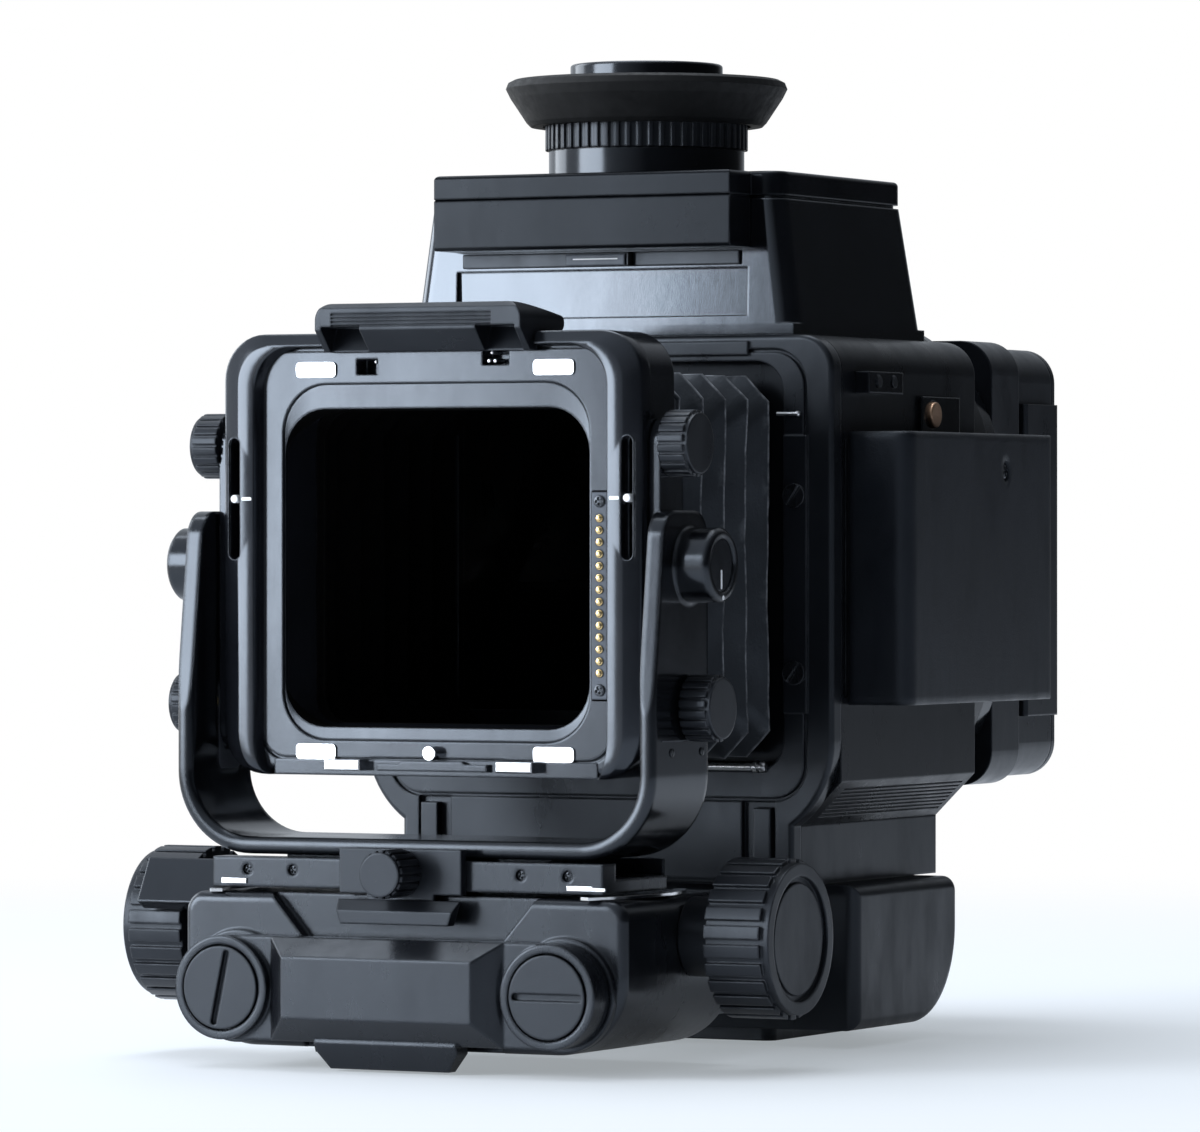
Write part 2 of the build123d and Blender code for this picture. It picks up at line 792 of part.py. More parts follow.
# Yoke: one bent strip with a beaded front edge, tapered arms and a keel under its floor
yoke_mid_z = (yoke_bottom_z + yoke_top_z) / 2
yoke_front_y = standard_y - yoke_front_reach_bottom
yoke_rear_y = standard_y + yoke_rear_depth
arm_front_y = standard_y - yoke_front_reach_top
with BuildPart() as yoke:
    with BuildSketch(facing_front(yoke_front_y)):
        box_outline(yoke_half_width, yoke_bottom_z, 2 * yoke_top_z - yoke_bottom_z, yoke_corner_radius)
        offset(amount=-yoke_thickness, mode=Mode.SUBTRACT)
        with Locations((0, yoke_top_z)):
            Rectangle(3 * yoke_half_width, yoke_top_z, align=(Align.CENTER, Align.MIN), mode=Mode.SUBTRACT)
    extrude(amount=-(yoke_rear_y - yoke_front_y))
    bead_edges = yoke.faces().sort_by(Axis.Y)[0].edges()
    fillet(bead_edges.filter_by(lambda e: e.center().Z < yoke_top_z - 1), yoke_bead_round)
    # side view of the arms: tapered front edge and rounded tops
    with BuildSketch(Plane.YZ.offset(-2 * yoke_half_width)) as arm_side:
        with BuildLine():
            Polyline(
                (yoke_front_y - 5, yoke_bottom_z - 5),
                (yoke_front_y - 5, yoke_taper_start_z),
                (yoke_front_y, yoke_taper_start_z),
                (arm_front_y, yoke_top_z),
                (yoke_rear_y, yoke_top_z),
                (yoke_rear_y, yoke_bottom_z - 5),
                close=True,
            )
        make_face()
        fillet(arm_side.vertices().group_by(Axis.Y)[-1], yoke_top_round)
    extrude(amount=4 * yoke_half_width, mode=Mode.INTERSECT)
    # tilt pin holes and tilt knob shaft holes through both arms
    for z, radius in ((lens_axis_z, pivot_pin_radius), (tilt_knob_z, tilt_shaft_radius)):
        with BuildSketch(facing_side(1, -yoke_half_width - 1, pivot_y, z)):
            Circle(radius + running_fit)
        extrude(amount=2 * yoke_half_width + 2, mode=Mode.SUBTRACT)
    # shallow seats for the plates on the inner faces of the arms
    for side in sides:
        with BuildSketch(facing_side(side, yoke_inner_x, pivot_y, arm_plate_z)):
            RectangleRounded(arm_plate_width, arm_plate_height, 3.0)
        extrude(amount=arm_plate_depth, mode=Mode.SUBTRACT)
    # keel that slides in the channel of the swing plate
    with BuildSketch(Plane.XY.offset(yoke_bottom_z)):
        with Locations((0, standard_y + (channel_rear_depth - channel_front_reach) / 2)):
            Rectangle(2 * keel_half_length, channel_rear_depth + channel_front_reach - 2 * slide_gap)
    extrude(amount=-keel_height)
    # round tilt housings on the outer faces of the arms, open to the index discs
    for side in sides:
        with BuildSketch(facing_side(side, yoke_half_width, pivot_y, lens_axis_z)):
            Circle(pivot_housing_radius)
            Circle(pivot_pin_radius + running_fit, mode=Mode.SUBTRACT)
        extrude(amount=pivot_housing_length)
        with BuildSketch(facing_side(side, yoke_half_width + pivot_housing_length, pivot_y, lens_axis_z)):
            Circle(pivot_disc_radius + running_fit)
        extrude(amount=-(pivot_housing_length * 0.5 + seat_gap), mode=Mode.SUBTRACT)
    housing_faces = yoke.faces().filter_by(Plane.YZ).group_by(Axis.X)
    for end in (housing_faces[0], housing_faces[-1]):
        chamfer(end.faces()[0].outer_wire().edges(), 0.8)
export(yoke, "yoke")

# Plates let into the arms behind the tilt knobs
with BuildPart() as arm_plates:
    for side in sides:
        with BuildSketch(facing_side(side, yoke_inner_x, pivot_y, arm_plate_z)):
            RectangleRounded(arm_plate_width - 2 * seat_gap, arm_plate_height - 2 * seat_gap, 2.9)
            with Locations((0, tilt_knob_z - arm_plate_z)):
                Circle(tilt_shaft_radius + running_fit, mode=Mode.SUBTRACT)
        extrude(amount=arm_plate_depth)
export(arm_plates, "arm_plates")

# Tilt knobs low on the arms
for side, name in ((-1, "left"), (1, "right")):
    tilt_plane = facing_side(side, yoke_half_width + tilt_knob_standoff, pivot_y, tilt_knob_z)
    tilt_knob = fluted_knob(
        tilt_plane,
        tilt_knob_radius,
        tilt_knob_length,
        tilt_knob_ribs,
        0.7,
        tilt_shaft_radius,
        tilt_knob_standoff + yoke_thickness,
    )
    export(tilt_knob, f"tilt_knob_{name}")

# Swing plate: a channel between a front and a rear gib, bored for the swing pin
swing_front_y = standard_y - plate_front_reach
swing_rear_y = standard_y + plate_rear_depth
channel_front_y = standard_y - channel_front_reach
channel_rear_y = standard_y + channel_rear_depth
with BuildPart() as swing_plate:
    with BuildSketch(Plane.YZ.offset(-plate_half_width)):
        with BuildLine():
            Polyline(
                (swing_front_y, plate_bottom_z),
                (swing_front_y, plate_top_z),
                (channel_front_y, plate_top_z),
                (channel_front_y, plate_floor_z),
                (channel_rear_y, plate_floor_z),
                (channel_rear_y, plate_top_z),
                (swing_rear_y, plate_top_z),
                (swing_rear_y, plate_bottom_z),
                close=True,
            )
        make_face()
    extrude(amount=2 * plate_half_width)
    # the rear corners are cut back so that the plate stays over the carriage as it swings
    chamfer(swing_plate.edges().filter_by(Axis.Z).group_by(Axis.Y)[-1], plate_corner_cut)
    with BuildSketch(Plane.XY.offset(plate_bottom_z)):
        with Locations((0, pivot_y)):
            Circle(swing_pin_radius + running_fit)
    extrude(amount=plate_floor_z - plate_bottom_z, mode=Mode.SUBTRACT)
    with BuildSketch(facing_front(swing_front_y)):
        with Locations(*[(x, plate_screw_z) for x in plate_screw_x]):
            Circle(plate_screw_radius)
    extrude(amount=-plate_screw_depth, mode=Mode.SUBTRACT)
export(swing_plate, "swing_plate")

# Bright pointers under the ends of the swing plate, over the arc scale
with BuildPart() as swing_pointers:
    for side in sides:
        with BuildSketch(facing_front(swing_front_y)):
            with Locations((side * pointer_x, plate_bottom_z + 1.4)):
                Rectangle(2 * pointer_half_width, 1.2)
            with Locations((side * (pointer_x + pointer_half_width), plate_bottom_z + 0.8)):
                Rectangle(pointer_half_width, 0.8, align=(Align.MIN, Align.MIN))
        extrude(amount=pointer_thickness)
export(swing_pointers, "swing_pointers")

# Lock block in front of the plate, with a bevelled tongue that hangs before the carriage
lock_front_y = standard_y - lock_block_reach
with BuildPart() as lock_block:
    with BuildSketch(facing_front(swing_front_y)):
        with Locations((0, (lock_block_bottom_z + lock_block_top_z) / 2)):
            Rectangle(2 * lock_block_half_width, lock_block_top_z - lock_block_bottom_z)
    extrude(amount=swing_front_y - lock_front_y)
    tongue_top_z = lock_block_bottom_z - lock_groove_height
    with BuildSketch(facing_front(lock_front_y)):
        with BuildLine():
            Polyline(
                (-lock_block_half_width, tongue_top_z),
                (-lock_tongue_half_width, lock_tongue_bottom_z),
                (lock_tongue_half_width, lock_tongue_bottom_z),
                (lock_block_half_width, tongue_top_z),
                close=True,
            )
        make_face()
    extrude(amount=lock_tongue_reach - lock_block_reach)
    # web behind the groove that carries the tongue
    with BuildSketch(facing_front(lock_front_y + lock_web_depth)):
        with Locations((0, lock_block_bottom_z)):
            Rectangle(2 * lock_web_half_width, 2 * lock_web_reach)
    extrude(amount=lock_web_depth)
    bevel = lock_block.faces().sort_by(Axis.Y)[0].edges().sort_by(Axis.Z)[-1]
    chamfer(bevel, 2.6)
    with BuildSketch(facing_front(lock_front_y)):
        with Locations((0, lock_knob_z)):
            Circle(lock_shaft_radius + running_fit)
    extrude(amount=-lock_shaft_length, mode=Mode.SUBTRACT)
export(lock_block, "lock_block")

# Knurled shift lock knob
shift_lock_knob = fluted_knob(
    facing_front(lock_front_y - seat_gap, lock_knob_z),
    lock_knob_radius,
    lock_knob_length,
    lock_knob_ribs,
    0.5,
    lock_shaft_radius,
    lock_shaft_length,
)
export(shift_lock_knob, "shift_lock_knob")

# Carriage block: rides on the two rails and carries the focus shaft and the swing pin
with BuildPart() as carriage:
    with BuildSketch(facing_front(block_front_y)) as block_face:
        with Locations((0, (block_bottom_z + block_top_z) / 2)):
            Rectangle(2 * block_half_width, block_top_z - block_bottom_z)
        fillet(block_face.vertices().group_by(Axis.Y)[0], block_lower_radius)
        fillet(block_face.vertices().group_by(Axis.Y)[-1], block_upper_radius)
    extrude(amount=-(block_rear_y - block_front_y))
    fillet(carriage.faces().sort_by(Axis.Y)[0].edges(), block_edge_round)
    # sunk middle of the face between the two raised shoulders
    with BuildSketch(facing_front(block_front_y)):
        with BuildLine():
            Polyline(
                (-block_recess_top_half, block_top_z + 1),
                (-block_recess_bottom_half, block_recess_bottom_z),
                (-block_recess_bottom_half, block_bottom_z - 1),
                (block_recess_bottom_half, block_bottom_z - 1),
                (block_recess_bottom_half, block_recess_bottom_z),
                (block_recess_top_half, block_top_z + 1),
                close=True,
            )
        make_face()
    extrude(amount=-block_recess_depth, mode=Mode.SUBTRACT)
    # collars round the rails, then the bores right through
    with BuildSketch(facing_front(block_front_y)):
        with Locations(*[(s * rail_x, rail_z) for s in sides]):
            Circle(collar_radius)
    extrude(amount=collar_length)
    collar_front_y = block_front_y - collar_length
    with BuildSketch(facing_front(collar_front_y)):
        with Locations(*[(s * rail_x, rail_z) for s in sides]):
            Circle(rail_radius + running_fit)
    extrude(amount=-(block_rear_y - collar_front_y), mode=Mode.SUBTRACT)
    # pockets for the pinions and a bore for their shaft
    for side in sides:
        pocket_x = side * rail_x - pinion_length / 2 - seat_gap
        with BuildSketch(facing_side(1, pocket_x, focus_y, focus_shaft_z)):
            Circle(pinion_radius + rack_addendum + face_gap)
        extrude(amount=pinion_length + 2 * seat_gap, mode=Mode.SUBTRACT)
    with BuildSketch(facing_side(1, -block_half_width, focus_y, focus_shaft_z)):
        Circle(focus_shaft_radius + running_fit)
    extrude(amount=2 * block_half_width, mode=Mode.SUBTRACT)
    # swing pin
    with BuildSketch(Plane.XY.offset(block_top_z)):
        with Locations((0, pivot_y)):
            Circle(swing_pin_radius)
    extrude(amount=plate_floor_z - block_top_z - seat_gap)
export(carriage, "carriage")

# Bright arc scale on top of the carriage, seen beside the swing plate
with BuildPart() as swing_scale:
    with BuildSketch(Plane.XY.offset(arc_bottom_z)):
        with Locations((0, pivot_y)):
            Circle(arc_outer_radius)
            Circle(arc_inner_radius, mode=Mode.SUBTRACT)
            for side in sides:
                slope = math.tan(math.radians(arc_half_angle))
                reach = 2 * arc_outer_radius
                Polygon(
                    (0, 0),
                    (reach, reach * slope),
                    (reach, reach),
                    (-reach, reach),
                    (-reach, reach * slope),
                    align=None,
                    rotation=0 if side > 0 else 180,
                    mode=Mode.SUBTRACT,
                )
    extrude(amount=arc_thickness)
export(swing_scale, "swing_scale")

# Rails with a rack cut in the top of each
rail_front_y = bar_rear_y - 2.8
rack_grooves = int((focus_travel + 2 * rack_first_reach) / rack_pitch) + 1
with BuildPart() as rails:
    with BuildSketch(facing_front(rail_front_y)):
        with Locations(*[(s * rail_x, rail_z) for s in sides]):
            Circle(rail_radius)
    extrude(amount=-(rail_rear_y - rail_front_y))
    chamfer(rails.edges().filter_by(GeomType.CIRCLE).group_by(Axis.Y)[0], 0.6)
    # flats on top, then one groove for each tooth space
    first_groove = -2
    flat_start = focus_y + (first_groove - 0.5) * rack_pitch
    flat_length = (rack_grooves + 1) * rack_pitch
    tooth_top = rack_line_z + rack_addendum
    tooth_root = rack_line_z - rack_dedendum
    top_half = rack_groove_half + rack_addendum * pressure_tangent
    root_half = rack_groove_half - rack_dedendum * pressure_tangent
    for side in sides:
        with BuildSketch(Plane.YZ.offset(side * rail_x - rail_radius)):
            with Locations((flat_start, tooth_top)):
                Rectangle(flat_length, rail_radius, align=(Align.MIN, Align.MIN))
            for index in range(rack_grooves):
                with Locations((focus_y + (first_groove + index) * rack_pitch, 0)):
                    Polygon(
                        (-top_half, tooth_top + 0.1),
                        (-root_half, tooth_root),
                        (root_half, tooth_root),
                        (top_half, tooth_top + 0.1),
                        align=None,
                    )
        extrude(amount=2 * rail_radius, mode=Mode.SUBTRACT)
    # threaded bores for the caps
    with BuildSketch(facing_front(rail_front_y)):
        with Locations(*[(s * rail_x, rail_z) for s in sides]):
            Circle(cap_shank_radius)
    extrude(amount=-cap_shank_length, mode=Mode.SUBTRACT)
export(rails, "rails")

# Cross bar over the front ends of the rails, with a raised panel and a foot
with BuildPart() as cross_bar:
    with BuildSketch(facing_front(bar_rear_y)):
        with Locations((0, rail_z)):
            SlotCenterToCenter(2 * rail_x, 2 * bar_end_radius)
    extrude(amount=bar_thickness)
    with BuildSketch(facing_front(bar_face_y)):
        with Locations(*[(s * rail_x, rail_z) for s in sides]):
            Circle(bar_end_radius)
    extrude(amount=bar_end_thickness - bar_thickness)
    with BuildSketch(facing_front(bar_face_y)):
        with Locations((0, rail_z)):
            Rectangle(2 * bar_panel_base_half, 2 * bar_end_radius)
    with BuildSketch(facing_front(bar_face_y - bar_panel_height)):
        with Locations((0, (bar_panel_bottom_z + bar_panel_top_z) / 2)):
            Rectangle(2 * bar_panel_half, bar_panel_top_z - bar_panel_bottom_z)
    loft(ruled=True)
    # foot under the panel, slanting back to the surface that the camera stands on
    with BuildSketch(Plane.YZ.offset(-bar_foot_half)):
        with BuildLine():
            Polyline(
                (bar_face_y, rail_z - bar_end_radius + 4.0),
                (bar_face_y - 1.0, rail_z - bar_end_radius),
                (bar_rear_y - bar_foot_thickness + 0.8, bar_foot_bottom_z),
                (bar_rear_y - 0.4, bar_foot_bottom_z),
                (bar_rear_y, rail_z - bar_end_radius),
                (bar_rear_y, rail_z - bar_end_radius + 4.0),
                close=True,
            )
        make_face()
    extrude(amount=2 * bar_foot_half)
    for side in sides:
        with BuildSketch(facing_front(bar_rear_y)):
            Polygon(
                (side * bar_foot_half, bar_foot_bottom_z),
                (side * (bar_foot_half - bar_foot_bevel), bar_foot_bottom_z),
                (side * bar_foot_half, bar_foot_bottom_z + 1.4 * bar_foot_bevel),
                align=None,
            )
        extrude(amount=bar_thickness, mode=Mode.SUBTRACT)
    # seats for the rails behind and for the caps in front
    with BuildSketch(facing_front(bar_rear_y)):
        with Locations(*[(s * rail_x, rail_z) for s in sides]):
            Circle(rail_radius + running_fit)
    extrude(amount=bar_rear_y - rail_front_y, mode=Mode.SUBTRACT)
    with BuildSketch(facing_front(bar_end_y)):
        with Locations(*[(s * rail_x, rail_z) for s in sides]):
            Circle(cap_radius + cap_ring_gap)
    extrude(amount=-(cap_head - 0.3), mode=Mode.SUBTRACT)
    with BuildSketch(facing_front(bar_end_y)):
        with Locations(*[(s * rail_x, rail_z) for s in sides]):
            Circle(cap_shank_radius + running_fit)
    extrude(amount=-bar_end_thickness, mode=Mode.SUBTRACT)
export(cross_bar, "cross_bar")

# Coin-slotted caps that screw the bar to the rails
cap_seat_y = bar_end_y + cap_head - 0.3
with BuildPart() as rail_caps:
    for side, angle in zip(sides, cap_slot_angles):
        cap_plane = Plane(origin=(side * rail_x, cap_seat_y, rail_z), x_dir=(1, 0, 0), z_dir=(0, -1, 0))
        with BuildSketch(cap_plane):
            Circle(cap_radius)
        extrude(amount=cap_head)
        with BuildSketch(cap_plane):
            Circle(cap_shank_radius - running_fit)
        extrude(amount=-cap_shank_length)
        with BuildSketch(cap_plane.offset(cap_head)):
            SlotOverall(2 * cap_radius - 1.6, cap_slot_width, rotation=angle)
        extrude(amount=-cap_slot_depth, mode=Mode.SUBTRACT)
export(rail_caps, "rail_caps")

# Focus shaft with a pinion over each rack
pinion_tip = pinion_radius + rack_addendum
pinion_root = pinion_radius - rack_dedendum
with BuildPart() as focus_shaft:
    with BuildSketch(facing_side(1, -focus_knob_face_x + focus_knob_length, focus_y, focus_shaft_z)):
        Circle(focus_shaft_radius)
    extrude(amount=2 * (focus_knob_face_x - focus_knob_length))
    for side in sides:
        with BuildSketch(facing_side(1, side * rail_x - pinion_length / 2, focus_y, focus_shaft_z)):
            Circle(pinion_root)
            for tooth in range(pinion_teeth):
                Polygon(
                    (pinion_root - 0.6, -pinion_root_half),
                    (pinion_tip, -pinion_tip_half),
                    (pinion_tip, pinion_tip_half),
                    (pinion_root - 0.6, pinion_root_half),
                    align=None,
                    rotation=tooth * 360 / pinion_teeth - 90,
                )
        extrude(amount=pinion_length)
export(focus_shaft, "focus_shaft")

# Focus knobs: fluted rims with a sunk ring and a dished disc in each face
for side, name in ((-1, "left"), (1, "right")):
    with BuildPart() as focus_knob:
        knob_base_x = focus_knob_face_x - focus_knob_length
        knob_plane = facing_side(side, knob_base_x, focus_y, focus_shaft_z)
        with BuildSketch(knob_plane):
            ribbed_disc(focus_knob_radius, focus_knob_ribs, focus_rib_depth)
        extrude(amount=focus_knob_length - 2.0)
        with BuildSketch(knob_plane.offset(focus_knob_length - 2.0)):
            Circle(focus_knob_radius - focus_rib_depth)
        extrude(amount=2.0)
        with BuildSketch(knob_plane.offset(focus_knob_length)):
            Circle(focus_face_groove)
            Circle(focus_face_disc, mode=Mode.SUBTRACT)
        extrude(amount=-focus_face_depth, mode=Mode.SUBTRACT)
        with BuildSketch(knob_plane.offset(focus_knob_length)):
            Circle(focus_face_disc)
        extrude(amount=-0.6, mode=Mode.SUBTRACT)
        # hub between the knob and the carriage
        with BuildSketch(knob_plane):
            Circle(focus_hub_radius)
        extrude(amount=-(knob_base_x - block_half_width - seat_gap))
        with BuildSketch(knob_plane.offset(-(knob_base_x - block_half_width - seat_gap))):
            Circle(focus_shaft_radius)
        extrude(amount=knob_base_x - block_half_width - seat_gap, mode=Mode.SUBTRACT)
    export(focus_knob, f"focus_knob_{name}")

# Focus lock lever: a ring on the left hub with a thumb piece that reaches over the knob
with BuildPart() as focus_lock:
    ring_x = block_half_width + 2 * seat_gap
    lever_plane = facing_side(-1, ring_x, focus_y, focus_shaft_z)
    with BuildSketch(lever_plane):
        Circle(lock_ring_radius)
        with Locations(Rotation(0, 0, lock_arm_angle) * Pos(lock_arm_reach / 2, 0)):
            Rectangle(lock_arm_reach, lock_arm_width)
        Circle(focus_hub_radius + running_fit, mode=Mode.SUBTRACT)
    extrude(amount=lock_ring_length)
    with BuildSketch(lever_plane.offset(lock_ring_length)):
        with Locations(Rotation(0, 0, lock_arm_angle) * Pos(lock_arm_reach, 0)):
            Rectangle(
                lock_arm_reach - focus_knob_radius - 0.8,
                lock_arm_width,
                align=(Align.MAX, Align.CENTER),
            )
    extrude(amount=lock_arm_overhang)
export(focus_lock, "focus_lock")

# Bellows: a ruled pleated tube of eight-sided sections with one crest to a fold
def bellows_section(y, inset):
    """One eight-sided section of the bellows on a plane facing the front."""
    half_width = bellows_half_width - inset
    half_height = bellows_half_height - inset
    with BuildSketch(facing_front(y)) as section:
        with Locations((0, bellows_centre_z)):
            Rectangle(2 * half_width, 2 * half_height)
        chamfer(section.vertices(), bellows_chamfer)
    return section.sketch


bellows_front_y = standard_rear_y
bellows_rear_y = body_front_y
fold_length = (bellows_rear_y - bellows_front_y) / bellows_folds
pleat_sections = []
for fold in range(bellows_folds):
    fold_y = bellows_front_y + fold * fold_length
    pleat_sections.append(bellows_section(fold_y, bellows_fold_depth))
    pleat_sections.append(bellows_section(fold_y + fold_length / 2, 0))
pleat_sections.append(bellows_section(bellows_rear_y, bellows_fold_depth))
with BuildPart() as bellows:
    loft(pleat_sections, ruled=True)
    with BuildSketch(facing_front(bellows_front_y)):
        with Locations((0, bellows_centre_z)):
            Rectangle(
                2 * (bellows_half_width - bellows_fold_depth - bellows_wall),
                2 * (bellows_half_height - bellows_fold_depth - bellows_wall),
            )
    extrude(amount=-(bellows_rear_y - bellows_front_y), mode=Mode.SUBTRACT)
export(bellows, "bellows")

# Body casting: rounded box round the mirror chamber, with a ridged and drawn-in lower side
with BuildPart() as body:
    with BuildSketch(facing_front(body_front_y)) as body_face:
        with BuildLine():
            Polyline(
                (-neck_half_width, neck_top_z),
                (-body_half_width, body_shoulder_z),
                (-body_half_width, body_top_z),
                (body_half_width, body_top_z),
                (body_half_width, body_shoulder_z),
                (neck_half_width, neck_top_z),
                close=True,
            )
        make_face()
        fillet(body_face.vertices().group_by(Axis.Y)[-1], body_corner_radius)
    extrude(amount=-(body_rear_y - body_front_y))
    # fine ridges along the drawn-in side
    slope_length = math.hypot(body_half_width - neck_half_width, body_shoulder_z - neck_top_z)
    slope_angle = math.degrees(math.atan2(body_shoulder_z - neck_top_z, body_half_width - neck_half_width))
    slope_mid_x = (body_half_width + neck_half_width) / 2
    slope_mid_z = (body_shoulder_z + neck_top_z) / 2
    for side in sides:
        with BuildSketch(facing_front(body_front_y + 6.0)):
            with Locations(Pos(side * slope_mid_x, slope_mid_z) * Rot(0, 0, side * slope_angle)):
                with GridLocations(side_groove_pitch, 0, side_grooves, 1):
                    Rectangle(side_groove_pitch * 0.45, 2 * side_groove_depth)
        extrude(amount=-(body_rear_y - body_front_y - 9.0), mode=Mode.SUBTRACT)
    # mirror chamber, open to the film gate, and the smaller light path through its front wall
    with BuildSketch(facing_front(body_rear_y)):
        box_outline(chamber_half_width, chamber_bottom_z, chamber_top_z, 3.0)
    extrude(amount=body_rear_y - body_front_y - chamber_front_wall, mode=Mode.SUBTRACT)
    with BuildSketch(facing_front(body_front_y)):
        box_outline(light_path_half_width, light_path_bottom_z + 4, light_path_top_z, 4.0)
    extrude(amount=-chamber_front_wall, mode=Mode.SUBTRACT)
    # screen opening in the roof, with a ledge under the screen
    with BuildSketch(Plane.XY.offset(body_top_z)):
        with Locations((0, screen_y)):
            Rectangle(2 * screen_half_width, screen_length)
    extrude(amount=-(body_top_z - chamber_top_z - screen_ledge), mode=Mode.SUBTRACT)
    with BuildSketch(Plane.XY.offset(body_top_z)):
        with Locations((0, screen_y)):
            Rectangle(2 * screen_half_width - 4, screen_length - 4)
    extrude(amount=-(body_top_z - chamber_top_z), mode=Mode.SUBTRACT)
    # sunk bay for the battery latch beside the pack
    with BuildSketch(facing_side(1, body_half_width, 0, 0)):
        with Locations((pack_front_y - 1.0, (pack_bottom_z + pack_top_z) / 2)):
            Rectangle(3.0, pack_top_z - pack_bottom_z - 4.0)
    extrude(amount=-latch_recess_depth, mode=Mode.SUBTRACT)
    # bore for the battery button
    with BuildSketch(facing_side(1, body_half_width, button_y, (pack_top_z + button_plate_top_z) / 2)):
        Circle(button_radius + running_fit)
    extrude(amount=-3.0, mode=Mode.SUBTRACT)
    # bearings of the mirror in both side walls of the chamber
    bearing_half = chamber_half_width + mirror_pin_reach
    with BuildSketch(Plane.YZ.offset(-bearing_half)):
        with Locations((mirror_pivot_y, mirror_pivot_z)):
            Circle(mirror_pin_radius + running_fit)
    extrude(amount=2 * bearing_half, mode=Mode.SUBTRACT)
export(body, "body")

# Front plate: frames the bellows, rounds in to the neck and carries guides and strips
shoulder_centre_x = body_half_width - plate_shoulder_radius
shoulder_drop = math.sqrt(plate_shoulder_radius**2 - (neck_half_width - shoulder_centre_x) ** 2)
plate_panel_half = body_half_width - plate_panel_inset
with BuildPart() as front_plate:
    with BuildSketch(facing_front(plate_front_y)) as plate_face:
        with Locations((0, (plate_bottom_edge_z + plate_shoulder_z) / 2)):
            Rectangle(2 * neck_half_width, plate_shoulder_z - plate_bottom_edge_z)
        with BuildLine():
            Polyline(
                (-neck_half_width, plate_shoulder_z - shoulder_drop),
                (neck_half_width, plate_shoulder_z - shoulder_drop),
            )
            RadiusArc(
                (neck_half_width, plate_shoulder_z - shoulder_drop),
                (body_half_width, plate_shoulder_z),
                -plate_shoulder_radius,
            )
            Polyline(
                (body_half_width, plate_shoulder_z),
                (body_half_width, body_top_z),
                (-body_half_width, body_top_z),
                (-body_half_width, plate_shoulder_z),
            )
            RadiusArc(
                (-body_half_width, plate_shoulder_z),
                (-neck_half_width, plate_shoulder_z - shoulder_drop),
                -plate_shoulder_radius,
            )
        make_face()
        fillet(plate_face.vertices().group_by(Axis.Y)[-1], body_corner_radius)
    extrude(amount=-(body_front_y - plate_front_y))
    fillet(front_plate.faces().sort_by(Axis.Y)[0].edges(), 1.2)
    # groove round the inner panel of the plate
    with BuildSketch(facing_front(plate_front_y)):
        box_outline(plate_panel_half, plate_panel_bottom_z, plate_panel_top_z, plate_panel_radius)
        offset(amount=-plate_groove_width, mode=Mode.SUBTRACT)
    extrude(amount=-plate_groove_depth, mode=Mode.SUBTRACT)
    with BuildSketch(facing_front(plate_front_y)):
        box_outline(recess_half_width, recess_bottom_z, recess_top_z, recess_corner_radius)
    extrude(amount=-(body_front_y - plate_front_y), mode=Mode.SUBTRACT)
    # upright guides, each in a slot beside the middle of the neck
    for side in sides:
        with BuildSketch(facing_front(plate_front_y)):
            with Locations((side * (guide_slot_inner_x + guide_slot_outer_x) / 2, plate_panel_bottom_z)):
                Rectangle(
                    guide_slot_outer_x - guide_slot_inner_x,
                    plate_panel_bottom_z - plate_bottom_edge_z,
                    align=(Align.CENTER, Align.MAX),
                )
        extrude(amount=-guide_slot_depth, mode=Mode.SUBTRACT)
        with BuildSketch(facing_front(plate_front_y + guide_slot_depth)):
            with Locations((side * guide_x, guide_top_z)):
                Rectangle(
                    2 * guide_half_width,
                    guide_top_z - plate_bottom_edge_z,
                    align=(Align.CENTER, Align.MAX),
                )
        extrude(amount=guide_slot_depth + guide_height)
    # flat strip over the bellows opening
    with BuildSketch(facing_front(plate_front_y)):
        with Locations((0, top_strip_bottom_z + top_strip_height / 2)):
            Rectangle(2 * top_strip_half_width, top_strip_height)
    extrude(amount=strip_height)
    # upright strips beside the bellows
    with BuildSketch(facing_front(plate_front_y)):
        with Locations(*[(s * side_strip_x, (side_strip_bottom_z + side_strip_top_z) / 2) for s in sides]):
            Rectangle(2 * side_strip_half_width, side_strip_top_z - side_strip_bottom_z)
    extrude(amount=strip_height)
export(front_plate, "front_plate")

